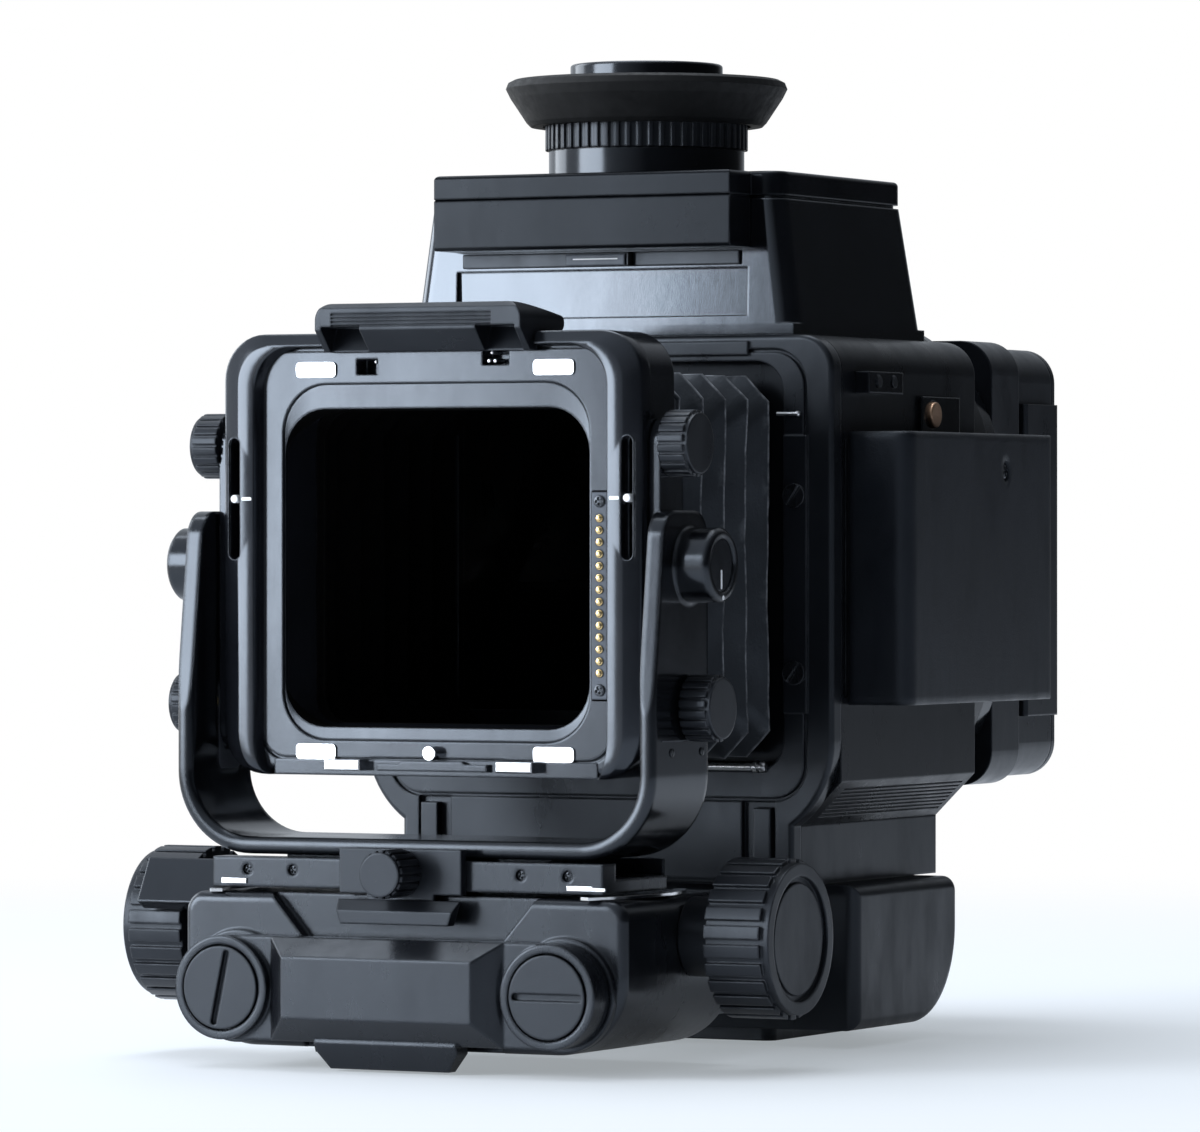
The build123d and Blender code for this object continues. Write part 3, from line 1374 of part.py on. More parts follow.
# Base: the neck under the body and the wide housing that holds the rails
with BuildPart() as base:
    with BuildSketch(facing_front(body_front_y)):
        with Locations((0, neck_top_z)):
            Rectangle(2 * neck_half_width, neck_top_z - base_top_z, align=(Align.CENTER, Align.MAX))
    extrude(amount=-(body_rear_y - body_front_y))
    with BuildSketch(Plane.YZ.offset(-base_half_width)) as base_side:
        with Locations((base_front_y, base_bottom_z)):
            Rectangle(base_rear_y - base_front_y, base_top_z - base_bottom_z, align=(Align.MIN, Align.MIN))
        corners = base_side.vertices().group_by(Axis.X)[-1].sort_by(Axis.Y)
        fillet(corners[0], base_rear_radius)
        fillet(base_side.vertices().group_by(Axis.X)[-1].sort_by(Axis.Y)[-1], 4.0)
    extrude(amount=2 * base_half_width)
    side_faces = base.faces().filter_by(Plane.YZ)
    outer_faces = side_faces.filter_by(lambda f: abs(f.center().X) > base_half_width - 1)
    fillet(outer_faces.edges(), base_edge_round)
    # middle of the base, which reaches back over the foot plate
    with BuildSketch(facing_front(base_front_y)):
        with Locations((0, base_bottom_z)):
            Rectangle(2 * spine_half_width, neck_top_z - base_bottom_z - 1.0, align=(Align.CENTER, Align.MIN))
    extrude(amount=-(body_rear_y - base_front_y))
    fillet(base.edges().filter_by(Axis.X).group_by(Axis.Z)[0].sort_by(Axis.Y)[-1], spine_round)
    # bores for the rails
    with BuildSketch(facing_front(base_front_y)):
        with Locations(*[(s * rail_x, rail_z) for s in sides]):
            Circle(rail_radius)
    extrude(amount=-(rail_rear_y - base_front_y), mode=Mode.SUBTRACT)
export(base, "base")

# Foot plate with two bushes for the tripod
bushes = ((0.0, bush_radius, socket_radius), (small_socket_y, small_bush_radius, small_socket_radius))
with BuildPart() as foot_plate:
    with BuildSketch(Plane.XY) as foot_face:
        with Locations((0, (foot_front_y + foot_rear_y) / 2)):
            RectangleRounded(2 * foot_half_width, foot_rear_y - foot_front_y, foot_corner_radius)
        for bush_y, bush_outer, bush_bore in bushes:
            with Locations((0, bush_y)):
                Circle(bush_outer, mode=Mode.SUBTRACT)
    extrude(amount=base_bottom_z)
export(foot_plate, "foot_plate")

with BuildPart() as tripod_bushes:
    for bush_y, bush_outer, bush_bore in bushes:
        with BuildSketch(Plane.XY):
            with Locations((0, bush_y)):
                Circle(bush_outer)
        extrude(amount=base_bottom_z)
        with BuildSketch(Plane.XY):
            with Locations((0, bush_y)):
                Circle(bush_bore)
        extrude(amount=bush_depth, mode=Mode.SUBTRACT)
export(tripod_bushes, "tripod_bushes")

# Battery pack on the right side, with rounded upright edges in front
pack_x = body_half_width
pack_mid_y = (pack_front_y + pack_rear_y) / 2
pack_mid_z = (pack_bottom_z + pack_top_z) / 2
with BuildPart() as battery_pack:
    with BuildSketch(facing_side(1, pack_x, pack_mid_y, pack_mid_z)):
        Rectangle(pack_rear_y - pack_front_y, pack_top_z - pack_bottom_z)
    extrude(amount=pack_thickness)
    outer_front = battery_pack.edges().filter_by(Axis.Z).group_by(Axis.X)[-1].sort_by(Axis.Y)
    fillet(outer_front[0], pack_edge_round)
    fillet(battery_pack.faces().sort_by(Axis.X)[-1].edges(), 0.8)
    with BuildSketch(facing_side(1, pack_x + pack_thickness, pack_screw_y, pack_screw_z)):
        SlotOverall(3.2 * pack_screw_radius, 2 * pack_screw_radius, rotation=90)
    extrude(amount=-1.5, mode=Mode.SUBTRACT)
export(battery_pack, "battery_pack")

# Plate round the battery button, and the button, which is pressed in
button_z = (pack_top_z + button_plate_top_z) / 2
plate_mid_y = (button_plate_front_y + button_plate_rear_y) / 2
with BuildPart() as button_plate:
    with BuildSketch(facing_side(1, body_half_width, plate_mid_y, button_z)):
        Rectangle(
            button_plate_rear_y - button_plate_front_y,
            button_plate_top_z - pack_top_z - 2 * seat_gap,
        )
        with Locations((button_y - plate_mid_y, 0)):
            Circle(button_radius + running_fit, mode=Mode.SUBTRACT)
    extrude(amount=button_plate_thickness)
export(button_plate, "button_plate")

with BuildPart() as battery_button:
    with BuildSketch(facing_side(1, body_half_width - 3.0 + button_travel + seat_gap, button_y, button_z)):
        Circle(button_radius)
    extrude(amount=3.0 + button_plate_thickness - 0.2)
    fillet(battery_button.faces().sort_by(Axis.X)[-1].edges(), 0.5)
export(battery_button, "battery_button")

# Strap lugs high on both sides, each with two screws
lug_mid_y = (lug_front_y + lug_rear_y) / 2
lug_top_z = body_top_z - body_corner_radius
lug_screw_z = lug_bottom_z + lug_screw_rise
with BuildPart() as strap_lugs:
    for side in sides:
        with BuildSketch(facing_side(side, body_half_width, lug_mid_y, lug_top_z)):
            Rectangle(lug_rear_y - lug_front_y, lug_top_z - lug_bottom_z, align=(Align.CENTER, Align.MAX))
        extrude(amount=lug_thickness)
        with BuildSketch(facing_side(side, body_half_width + lug_thickness, lug_mid_y, lug_screw_z)):
            with GridLocations(lug_screw_pitch, 0, 2, 1):
                Circle(lug_screw_radius + running_fit)
        extrude(amount=-lug_thickness, mode=Mode.SUBTRACT)
export(strap_lugs, "strap_lugs")

# Screws of the lugs and slotted screws of the upright strips
with BuildPart() as body_screws:
    for side in sides:
        with BuildSketch(facing_side(side, body_half_width, lug_mid_y, lug_screw_z)):
            with GridLocations(lug_screw_pitch, 0, 2, 1):
                Circle(lug_screw_radius)
        extrude(amount=lug_thickness + 0.4)
    strip_screw_places = [(s * side_strip_x, z) for s in sides for z in strip_screw_z]
    with BuildSketch(facing_front(plate_front_y - strip_height)):
        with Locations(*strip_screw_places):
            Circle(strip_screw_radius)
    extrude(amount=1.0)
    with BuildSketch(facing_front(plate_front_y - strip_height - 1.0)):
        with Locations(*strip_screw_places):
            Rectangle(2 * strip_screw_radius, 0.7, rotation=55)
    extrude(amount=-0.6, mode=Mode.SUBTRACT)
export(body_screws, "body_screws")

# Control panel on the left side with the shutter dial and the release button
panel_mid_y = (panel_front_y + panel_rear_y) / 2
panel_mid_z = (panel_bottom_z + panel_top_z) / 2
with BuildPart() as control_panel:
    with BuildSketch(facing_side(-1, body_half_width, panel_mid_y, panel_mid_z)):
        RectangleRounded(panel_rear_y - panel_front_y, panel_top_z - panel_bottom_z, 5.0)
    extrude(amount=panel_thickness)
    fillet(control_panel.faces().sort_by(Axis.X)[0].edges(), 1.5)
    with BuildSketch(facing_side(-1, body_half_width + panel_thickness, dial_y, dial_z)):
        Circle(2.0 + running_fit)
    extrude(amount=-2.5, mode=Mode.SUBTRACT)
    with BuildSketch(facing_side(-1, body_half_width + panel_thickness, release_y, release_z)):
        Circle(release_radius + running_fit)
    extrude(amount=-2.6, mode=Mode.SUBTRACT)
export(control_panel, "control_panel")

shutter_dial = fluted_knob(
    facing_side(-1, body_half_width + panel_thickness + seat_gap, dial_y, dial_z),
    dial_radius,
    dial_height,
    dial_ribs,
    0.6,
    2.0,
    2.2,
)
export(shutter_dial, "shutter_dial")

with BuildPart() as release_button:
    release_inner_x = body_half_width + panel_thickness - 2.6 + release_travel + seat_gap
    with BuildSketch(facing_side(-1, release_inner_x, release_y, release_z)):
        Circle(release_radius)
    extrude(amount=3.6)
    fillet(release_button.faces().sort_by(Axis.X)[0].edges(), 1.2)
export(release_button, "release_button")

# Mirror: a thin plate in a holder with a hinge barrel at the top rear of the chamber
half_root = math.sqrt(0.5)
mirror_plane = Plane(
    origin=(0, mirror_pivot_y, mirror_pivot_z),
    x_dir=(1, 0, 0),
    z_dir=(0, -half_root, half_root),
)
with BuildPart() as mirror_holder:
    pin_half = chamber_half_width + mirror_pin_reach - mirror_pin_end_gap
    with BuildSketch(Plane.YZ.offset(-pin_half)):
        with Locations((mirror_pivot_y, mirror_pivot_z)):
            Circle(mirror_pin_radius)
    extrude(amount=2 * pin_half)
    with BuildSketch(Plane.YZ.offset(-mirror_half_width)):
        with Locations((mirror_pivot_y, mirror_pivot_z)):
            Circle(mirror_barrel_radius)
    extrude(amount=2 * mirror_half_width)
    with BuildSketch(mirror_plane):
        with Locations((0, -mirror_length / 2)):
            Rectangle(2 * mirror_half_width, mirror_length)
    extrude(amount=-mirror_holder_thickness)
export(mirror_holder, "mirror_holder")

with BuildPart() as mirror:
    with BuildSketch(mirror_plane):
        with Locations((0, -mirror_length / 2 - 1.2)):
            Rectangle(2 * mirror_half_width - 2.0, mirror_length - 4.0)
    extrude(amount=mirror_thickness)
export(mirror, "mirror")

# Ground focusing screen on its ledge
with BuildPart() as focusing_screen:
    with BuildSketch(Plane.XY.offset(chamber_top_z + screen_ledge)):
        with Locations((0, screen_y)):
            Rectangle(2 * screen_half_width - 2 * seat_gap, screen_length - 2 * seat_gap)
    extrude(amount=screen_thickness)
export(focusing_screen, "focusing_screen")

# Rear flange fixed to the body
with BuildPart() as rear_flange:
    with BuildSketch(facing_front(body_rear_y)):
        box_outline(
            flange_half_width,
            lens_axis_z - flange_half_width,
            lens_axis_z + flange_half_width,
            flange_corner_radius,
        )
        gate_outline()
    extrude(amount=-(flange_rear_y - body_rear_y))
    chamfer(rear_flange.faces().sort_by(Axis.Y)[-1].outer_wire().edges(), 1.0)
    # round seat that the spigot of the revolving ring turns in
    with BuildSketch(facing_front(flange_rear_y)):
        with Locations((0, lens_axis_z)):
            Circle(turn_spigot_radius + running_fit)
    extrude(amount=turn_spigot_reach, mode=Mode.SUBTRACT)
export(rear_flange, "rear_flange")

# Revolving ring that turns the back through a quarter turn
ring_front_y = flange_rear_y + face_gap
ring_half = flange_half_width - ring_inset
with BuildPart() as revolving_ring:
    with BuildSketch(facing_front(ring_front_y)):
        box_outline(ring_half, lens_axis_z - ring_half, lens_axis_z + ring_half, flange_corner_radius)
        gate_outline()
    extrude(amount=-(ring_rear_y - ring_front_y))
    chamfer(revolving_ring.faces().sort_by(Axis.Y)[-1].outer_wire().edges(), 1.0)
    with BuildSketch(facing_front(ring_front_y)):
        with Locations((0, lens_axis_z)):
            Circle(turn_spigot_radius)
            Rectangle(2 * gate_half_width, 2 * gate_half_width, mode=Mode.SUBTRACT)
    extrude(amount=turn_spigot_reach)
export(revolving_ring, "revolving_ring")

# Back adapter, between the ring and the film back
back_mid_z = (back_bottom_z + back_top_z) / 2
with BuildPart() as back_adapter:
    with BuildSketch(facing_front(ring_rear_y)):
        box_outline(adapter_half_width, back_bottom_z - 1.5, back_top_z + 1.5, back_corner_radius)
        gate_outline()
    extrude(amount=-(adapter_rear_y - ring_rear_y))
    fillet(back_adapter.faces().sort_by(Axis.Y)[-1].outer_wire().edges(), 0.8)
export(back_adapter, "back_adapter")

# Film back: a shell open at the rear, with the film gate in its front wall
spool_y = adapter_rear_y + back_wall + spool_flange_radius + 0.6
hinge_y = back_rear_y + face_gap / 2
with BuildPart() as film_back:
    with BuildSketch(facing_front(adapter_rear_y)):
        box_outline(back_half_width, back_bottom_z, back_top_z, back_corner_radius)
    extrude(amount=-(back_rear_y - adapter_rear_y))
    with BuildSketch(facing_front(adapter_rear_y + back_wall)):
        box_outline(
            back_half_width - back_wall,
            back_bottom_z + back_wall,
            back_top_z - back_wall,
            back_corner_radius - back_wall,
        )
    extrude(amount=-(back_rear_y - adapter_rear_y), mode=Mode.SUBTRACT)
    with BuildSketch(facing_front(adapter_rear_y)):
        with Locations((0, lens_axis_z)):
            Rectangle(2 * film_gate_half_width, 2 * film_gate_half_height)
    extrude(amount=-back_wall, mode=Mode.SUBTRACT)
    # shaft that the spool turns on, standing on the floor of the shell
    with BuildSketch(Plane.XY.offset(back_bottom_z + back_wall)):
        with Locations((spool_x, spool_y)):
            Circle(spool_core_radius - 1.0)
    extrude(amount=lens_axis_z - spool_half_length - back_bottom_z - back_wall + 4.0)
    # hinge knuckles above and below the knuckle of the door
    with BuildSketch(Plane.XY.offset(door_knuckle_bottom_z)):
        with Locations((door_hinge_x, hinge_y)):
            Circle(door_hinge_radius + face_gap)
    extrude(amount=door_knuckle_top_z - door_knuckle_bottom_z, mode=Mode.SUBTRACT)
    for knuckle_z, knuckle_length in (
        (back_bottom_z + back_knuckle_margin, door_knuckle_bottom_z - back_bottom_z - back_knuckle_margin),
        (door_knuckle_top_z, back_top_z - back_knuckle_margin - door_knuckle_top_z),
    ):
        with BuildSketch(Plane.XY.offset(knuckle_z)):
            with Locations((door_hinge_x, hinge_y)):
                Circle(door_hinge_radius)
        extrude(amount=knuckle_length)
export(film_back, "film_back")

# Catch panel on the right side of the back
with BuildPart() as side_catch:
    with BuildSketch(facing_side(1, back_half_width, (adapter_rear_y + back_rear_y) / 2 + 2.0, 0)):
        with Locations((0, (side_catch_bottom_z + side_catch_top_z) / 2)):
            Rectangle(back_rear_y - adapter_rear_y - 4.0, side_catch_top_z - side_catch_bottom_z)
    extrude(amount=side_catch_thickness)
    chamfer(side_catch.faces().sort_by(Axis.X)[-1].edges().filter_by(Axis.Z), 0.8)
export(side_catch, "side_catch")

# Take-up spool with end flanges
with BuildPart() as take_up_spool:
    with BuildSketch(Plane.XY.offset(lens_axis_z - spool_half_length)):
        with Locations((spool_x, spool_y)):
            Circle(spool_core_radius)
    extrude(amount=2 * spool_half_length)
    for flange_z in (lens_axis_z - spool_half_length, lens_axis_z + spool_half_length - spool_flange):
        with BuildSketch(Plane.XY.offset(flange_z)):
            with Locations((spool_x, spool_y)):
                Circle(spool_flange_radius)
        extrude(amount=spool_flange)
    with BuildSketch(Plane.XY.offset(lens_axis_z - spool_half_length)):
        with Locations((spool_x, spool_y)):
            Circle(spool_core_radius - 1.0 + running_fit)
    extrude(amount=2 * spool_half_length, mode=Mode.SUBTRACT)
export(take_up_spool, "take_up_spool")

# Rear door with a raised panel and a hinge barrel on the left edge
door_front_y = back_rear_y + face_gap
with BuildPart() as film_door:
    with BuildSketch(facing_front(door_front_y)):
        box_outline(back_half_width, back_bottom_z, back_top_z, back_corner_radius)
    extrude(amount=-(door_rear_y - door_front_y - door_panel_height))
    with BuildSketch(facing_front(door_rear_y - door_panel_height)):
        with Locations((0, lens_axis_z)):
            RectangleRounded(2 * door_panel_half_width, 2 * door_panel_half_height, 5.0)
    extrude(amount=-door_panel_height)
    # clearance round the knuckles of the back, then the knuckle of the door
    with BuildSketch(Plane.XY.offset(back_bottom_z)):
        with Locations((door_hinge_x, hinge_y)):
            Circle(door_hinge_radius + face_gap)
    extrude(amount=back_top_z - back_bottom_z, mode=Mode.SUBTRACT)
    with BuildSketch(Plane.XY.offset(door_knuckle_bottom_z + face_gap)):
        with Locations((door_hinge_x, hinge_y)):
            Circle(door_hinge_radius)
        with Locations((door_hinge_x, (door_front_y + door_rear_y - door_panel_height) / 2)):
            Rectangle(
                2.0 - back_half_width - door_hinge_x + 1.0,
                door_rear_y - door_panel_height - door_front_y,
                align=(Align.MIN, Align.CENTER),
            )
    extrude(amount=door_knuckle_top_z - door_knuckle_bottom_z - 2 * face_gap)
export(film_door, "film_door")

# Pressure plate on the inner face of the door
with BuildPart() as pressure_plate:
    with BuildSketch(facing_front(door_front_y)):
        with Locations((0, lens_axis_z)):
            Rectangle(2 * pressure_half_width, 2 * pressure_half_height)
    extrude(amount=pressure_thickness + pressure_standoff)
export(pressure_plate, "pressure_plate")

# Finder: a tapered chimney with a sunk front panel and an open light path inside
with BuildPart() as finder:
    with BuildSketch(Plane.XY.offset(finder_bottom_z)):
        with Locations((0, (finder_bottom_front_y + finder_bottom_rear_y) / 2)):
            Rectangle(2 * finder_bottom_half, finder_bottom_rear_y - finder_bottom_front_y)
    extrude(amount=finder_skirt_z - finder_bottom_z)
    with BuildSketch(Plane.XY.offset(finder_skirt_z)):
        with Locations((0, (finder_bottom_front_y + finder_bottom_rear_y) / 2)):
            RectangleRounded(
                2 * finder_bottom_half,
                finder_bottom_rear_y - finder_bottom_front_y,
                finder_corner_radius,
            )
    with BuildSketch(Plane.XY.offset(finder_top_z)):
        with Locations((0, (finder_top_front_y + finder_top_rear_y) / 2)):
            RectangleRounded(
                2 * finder_top_half,
                finder_top_rear_y - finder_top_front_y,
                finder_corner_radius,
            )
    loft(ruled=True)
    # seam under the lid
    with BuildSketch(Plane.XY.offset(finder_top_z)):
        with Locations((0, (finder_top_front_y + finder_top_rear_y) / 2)):
            Rectangle(2 * finder_bottom_half, finder_bottom_rear_y - finder_bottom_front_y)
            RectangleRounded(
                2 * (finder_top_half - lid_seam_depth),
                finder_top_rear_y - finder_top_front_y - 2 * lid_seam_depth,
                finder_corner_radius - lid_seam_depth,
                mode=Mode.SUBTRACT,
            )
    extrude(amount=-lid_seam_height, mode=Mode.SUBTRACT)
    with BuildSketch(Plane.XY.offset(finder_bottom_z)):
        with Locations((0, screen_y)):
            Rectangle(2 * screen_half_width, screen_length)
    extrude(amount=finder_top_z - finder_bottom_z, mode=Mode.SUBTRACT)
    with BuildSketch(facing_front(finder_bottom_front_y)):
        with Locations((0, (finder_panel_bottom_z + finder_panel_top_z) / 2)):
            Rectangle(2 * finder_panel_half, finder_panel_top_z - finder_panel_bottom_z)
    extrude(amount=-finder_panel_depth, mode=Mode.SUBTRACT)
export(finder, "finder")

# Lid over the chimney, bored for the eyepiece
with BuildPart() as finder_lid:
    with BuildSketch(Plane.XY.offset(finder_top_z)):
        with Locations((0, (finder_top_front_y + finder_top_rear_y) / 2)):
            RectangleRounded(
                2 * finder_top_half,
                finder_top_rear_y - finder_top_front_y,
                finder_corner_radius,
            )
        with Locations((0, name_bar_front_y)):
            Rectangle(
                2 * name_bar_half,
                finder_top_front_y - name_bar_front_y + finder_corner_radius,
                align=(Align.CENTER, Align.MIN),
            )
    extrude(amount=lid_top_z - finder_top_z)
    fillet(finder_lid.faces().sort_by(Axis.Z)[-1].edges(), lid_edge_round)
    with BuildSketch(Plane.XY.offset(lid_top_z)):
        with Locations((0, eyepiece_y)):
            Circle(eyepiece_bore)
    extrude(amount=-(lid_top_z - finder_top_z), mode=Mode.SUBTRACT)
export(finder_lid, "finder_lid")

# Blank bar below the front of the lid, and the latch strip under it
with BuildPart() as name_bar:
    with BuildSketch(facing_front(name_bar_front_y)):
        with Locations((0, (name_bar_bottom_z + finder_top_z) / 2)):
            Rectangle(2 * name_bar_half, finder_top_z - name_bar_bottom_z)
    extrude(amount=-(finder_top_front_y - name_bar_front_y - 0.6))
    front_edges = name_bar.edges().filter_by(Axis.X).group_by(Axis.Y)[0].sort_by(Axis.Z)
    fillet(front_edges[0], name_bar_edge_round)
    chamfer(front_edges[-1], name_bar_seam)
export(name_bar, "name_bar")

# Eyepiece barrel on the lid
with BuildPart() as eyepiece_barrel:
    with BuildSketch(Plane.XY.offset(lid_top_z)):
        with Locations((0, eyepiece_y)):
            Circle(barrel_radius)
            Circle(eyepiece_bore, mode=Mode.SUBTRACT)
    extrude(amount=barrel_top_z - lid_top_z)
    with BuildSketch(Plane.XY.offset(barrel_top_z)):
        with Locations((0, eyepiece_y)):
            Circle(eyepiece_bore + 4.0)
            Circle(eyepiece_bore, mode=Mode.SUBTRACT)
    extrude(amount=dioptre_top_z - barrel_top_z)
    # ring that holds the magnifying lens inside the eyecup
    with BuildSketch(Plane.XY.offset(dioptre_top_z)):
        with Locations((0, eyepiece_y)):
            Circle(lens_ring_radius)
            Circle(lens_radius + seat_gap, mode=Mode.SUBTRACT)
    extrude(amount=lens_ring_top_z - dioptre_top_z)
    fillet(eyepiece_barrel.edges().group_by(Axis.Z)[-1], 0.8)
export(eyepiece_barrel, "eyepiece_barrel")

# Ribbed dioptre ring turning on the barrel
with BuildPart() as dioptre_ring:
    with BuildSketch(Plane.XY.offset(barrel_top_z + seat_gap)):
        with Locations((0, eyepiece_y)):
            Circle(dioptre_radius)
            Circle(eyepiece_bore + 4.0 + running_fit, mode=Mode.SUBTRACT)
            with PolarLocations(dioptre_radius, dioptre_ribs):
                Rectangle(2 * dioptre_rib_depth, 1.6, mode=Mode.SUBTRACT)
    extrude(amount=dioptre_top_z - barrel_top_z - 2 * seat_gap)
export(dioptre_ring, "dioptre_ring")

# Rubber eyecup: a flared bell turned about the eyepiece axis, with a skirt over the dioptre ring
skirt_inner_radius = dioptre_radius + eyecup_skirt_gap
skirt_bottom_z = dioptre_top_z - eyecup_skirt_drop
with BuildPart() as eyecup:
    with BuildSketch(Plane.XZ.offset(-eyepiece_y)):
        with BuildLine():
            Polyline(
                (lens_ring_radius + seat_gap, dioptre_top_z),
                (skirt_inner_radius, dioptre_top_z),
                (skirt_inner_radius, skirt_bottom_z),
                (eyecup_skirt_radius - 1.0, skirt_bottom_z),
                (eyecup_skirt_radius, skirt_bottom_z + 1.0),
                (eyecup_rim_radius - 1.2, eyecup_top_z - 4.6),
                (eyecup_rim_radius, eyecup_top_z - 2.2),
                (eyecup_rim_radius - 0.6, eyecup_top_z - 0.7),
                (eyecup_rim_radius - 2.0, eyecup_top_z),
                (eyecup_rim_radius - eyecup_wall, eyecup_top_z),
                (eyecup_rim_radius - eyecup_wall - 2.0, eyecup_top_z - 2.2),
                (skirt_inner_radius, dioptre_top_z + eyecup_floor),
                (lens_ring_radius + seat_gap, dioptre_top_z + eyecup_floor),
                close=True,
            )
        make_face()
    revolve(axis=Axis((0, eyepiece_y, 0), (0, 0, 1)))
export(eyecup, "eyecup")

# Magnifying lens, convex on both faces
lens_mid_z = lens_ring_top_z - 6.0
lens_curve = (lens_radius**2 + lens_sag**2) / (2 * lens_sag)
lens_edge = 1.0
with BuildPart() as magnifier_lens:
    with BuildSketch(Plane.XY.offset(lens_mid_z - lens_sag - lens_edge)):
        with Locations((0, eyepiece_y)):
            Circle(lens_radius)
    extrude(amount=2 * (lens_sag + lens_edge))
    for centre_z in (
        lens_mid_z + lens_sag + lens_edge - lens_curve,
        lens_mid_z - lens_sag - lens_edge + lens_curve,
    ):
        with Locations((0, eyepiece_y, centre_z)):
            Sphere(lens_curve, mode=Mode.INTERSECT)
export(magnifier_lens, "magnifier_lens")
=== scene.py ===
"""Looks for the bellows camera: materials, small fittings, the pleated bellows, floor, light and camera.

Pieces are given in millimetres in the CAD frame, with +Z up and the lens side towards -Y. Materials, the floor,
the lamps and the camera are given in metres.
"""
import math

import bmesh
import bpy
from mathutils import Matrix, Vector, noise


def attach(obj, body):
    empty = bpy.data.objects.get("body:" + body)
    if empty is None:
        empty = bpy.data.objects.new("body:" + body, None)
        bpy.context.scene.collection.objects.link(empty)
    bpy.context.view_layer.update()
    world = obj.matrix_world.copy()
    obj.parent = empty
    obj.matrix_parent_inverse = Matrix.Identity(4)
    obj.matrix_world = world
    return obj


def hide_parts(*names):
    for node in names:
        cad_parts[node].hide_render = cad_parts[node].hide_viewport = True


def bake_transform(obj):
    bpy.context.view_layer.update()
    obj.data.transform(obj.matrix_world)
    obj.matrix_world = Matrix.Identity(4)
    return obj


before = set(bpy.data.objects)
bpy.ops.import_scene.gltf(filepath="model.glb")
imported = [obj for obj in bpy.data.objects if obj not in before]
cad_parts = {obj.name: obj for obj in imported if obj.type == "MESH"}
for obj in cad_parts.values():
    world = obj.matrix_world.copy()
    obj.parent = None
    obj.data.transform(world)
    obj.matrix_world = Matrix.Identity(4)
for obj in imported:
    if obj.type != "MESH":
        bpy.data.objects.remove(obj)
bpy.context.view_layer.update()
scene = bpy.context.scene
MM = 0.001
SIDES = {"left": -1, "right": 1}
FRONT = (0, -1, 0)


# Node trees
class Nodes:
    """A node tree built up with short calls. where is its texture coordinate."""

    def __init__(self, tree, coordinate="Object"):
        self.nodes = tree.nodes
        self.links = tree.links
        self.where = self.nodes.new("ShaderNodeTexCoord").outputs[coordinate]

    def link(self, out, into):
        self.links.new(out, into)

    def fill(self, socket, value):
        """A socket is linked, and a number or vector is set."""
        if isinstance(value, bpy.types.NodeSocket):
            self.link(value, socket)
        else:
            socket.default_value = value

    def noise(self, scale, detail=3.0, rough=0.5, stretch=None):
        node = self.nodes.new("ShaderNodeTexNoise")
        node.inputs["Scale"].default_value = scale
        node.inputs["Detail"].default_value = detail
        node.inputs["Roughness"].default_value = rough
        source = self.where
        if stretch:
            mapping = self.nodes.new("ShaderNodeMapping")
            mapping.inputs["Scale"].default_value = stretch
            self.link(source, mapping.inputs["Vector"])
            source = mapping.outputs["Vector"]
        self.link(source, node.inputs["Vector"])
        return node.outputs["Fac"]

    def cells(self, scale):
        """Distance to the middle of the nearest cell."""
        node = self.nodes.new("ShaderNodeTexVoronoi")
        node.inputs["Scale"].default_value = scale
        self.link(self.where, node.inputs["Vector"])
        return node.outputs["Distance"]

    def span(self, value, low, high, to_low=0.0, to_high=1.0):
        """The value's range low to high, moved to another range and clamped there."""
        node = self.nodes.new("ShaderNodeMapRange")
        for key, number in zip(("From Min", "From Max", "To Min", "To Max"), (low, high, to_low, to_high)):
            node.inputs[key].default_value = number
        self.link(value, node.inputs["Value"])
        return node.outputs["Result"]

    def math(self, kind, a, b):
        node = self.nodes.new("ShaderNodeMath")
        node.operation = kind
        self.fill(node.inputs[0], a)
        self.fill(node.inputs[1], b)
        return node.outputs[0]

    def vector(self, kind, a, b=(0.0, 0.0, 0.0)):
        """Vector sum that gives one number."""
        node = self.nodes.new("ShaderNodeVectorMath")
        node.operation = kind
        self.fill(node.inputs[0], a)
        self.fill(node.inputs[1], b)
        return node.outputs["Value"]

    def mix(self, factor, a, b):
        """Colour a where the factor is 0, and b where it is 1."""
        node = self.nodes.new("ShaderNodeMix")
        node.data_type = "RGBA"
        self.link(factor, node.inputs["Factor"])
        for socket, value in ((node.inputs[6], a), (node.inputs[7], b)):
            self.fill(socket, (*value, 1.0) if isinstance(value, tuple) else value)
        return node.outputs[2]


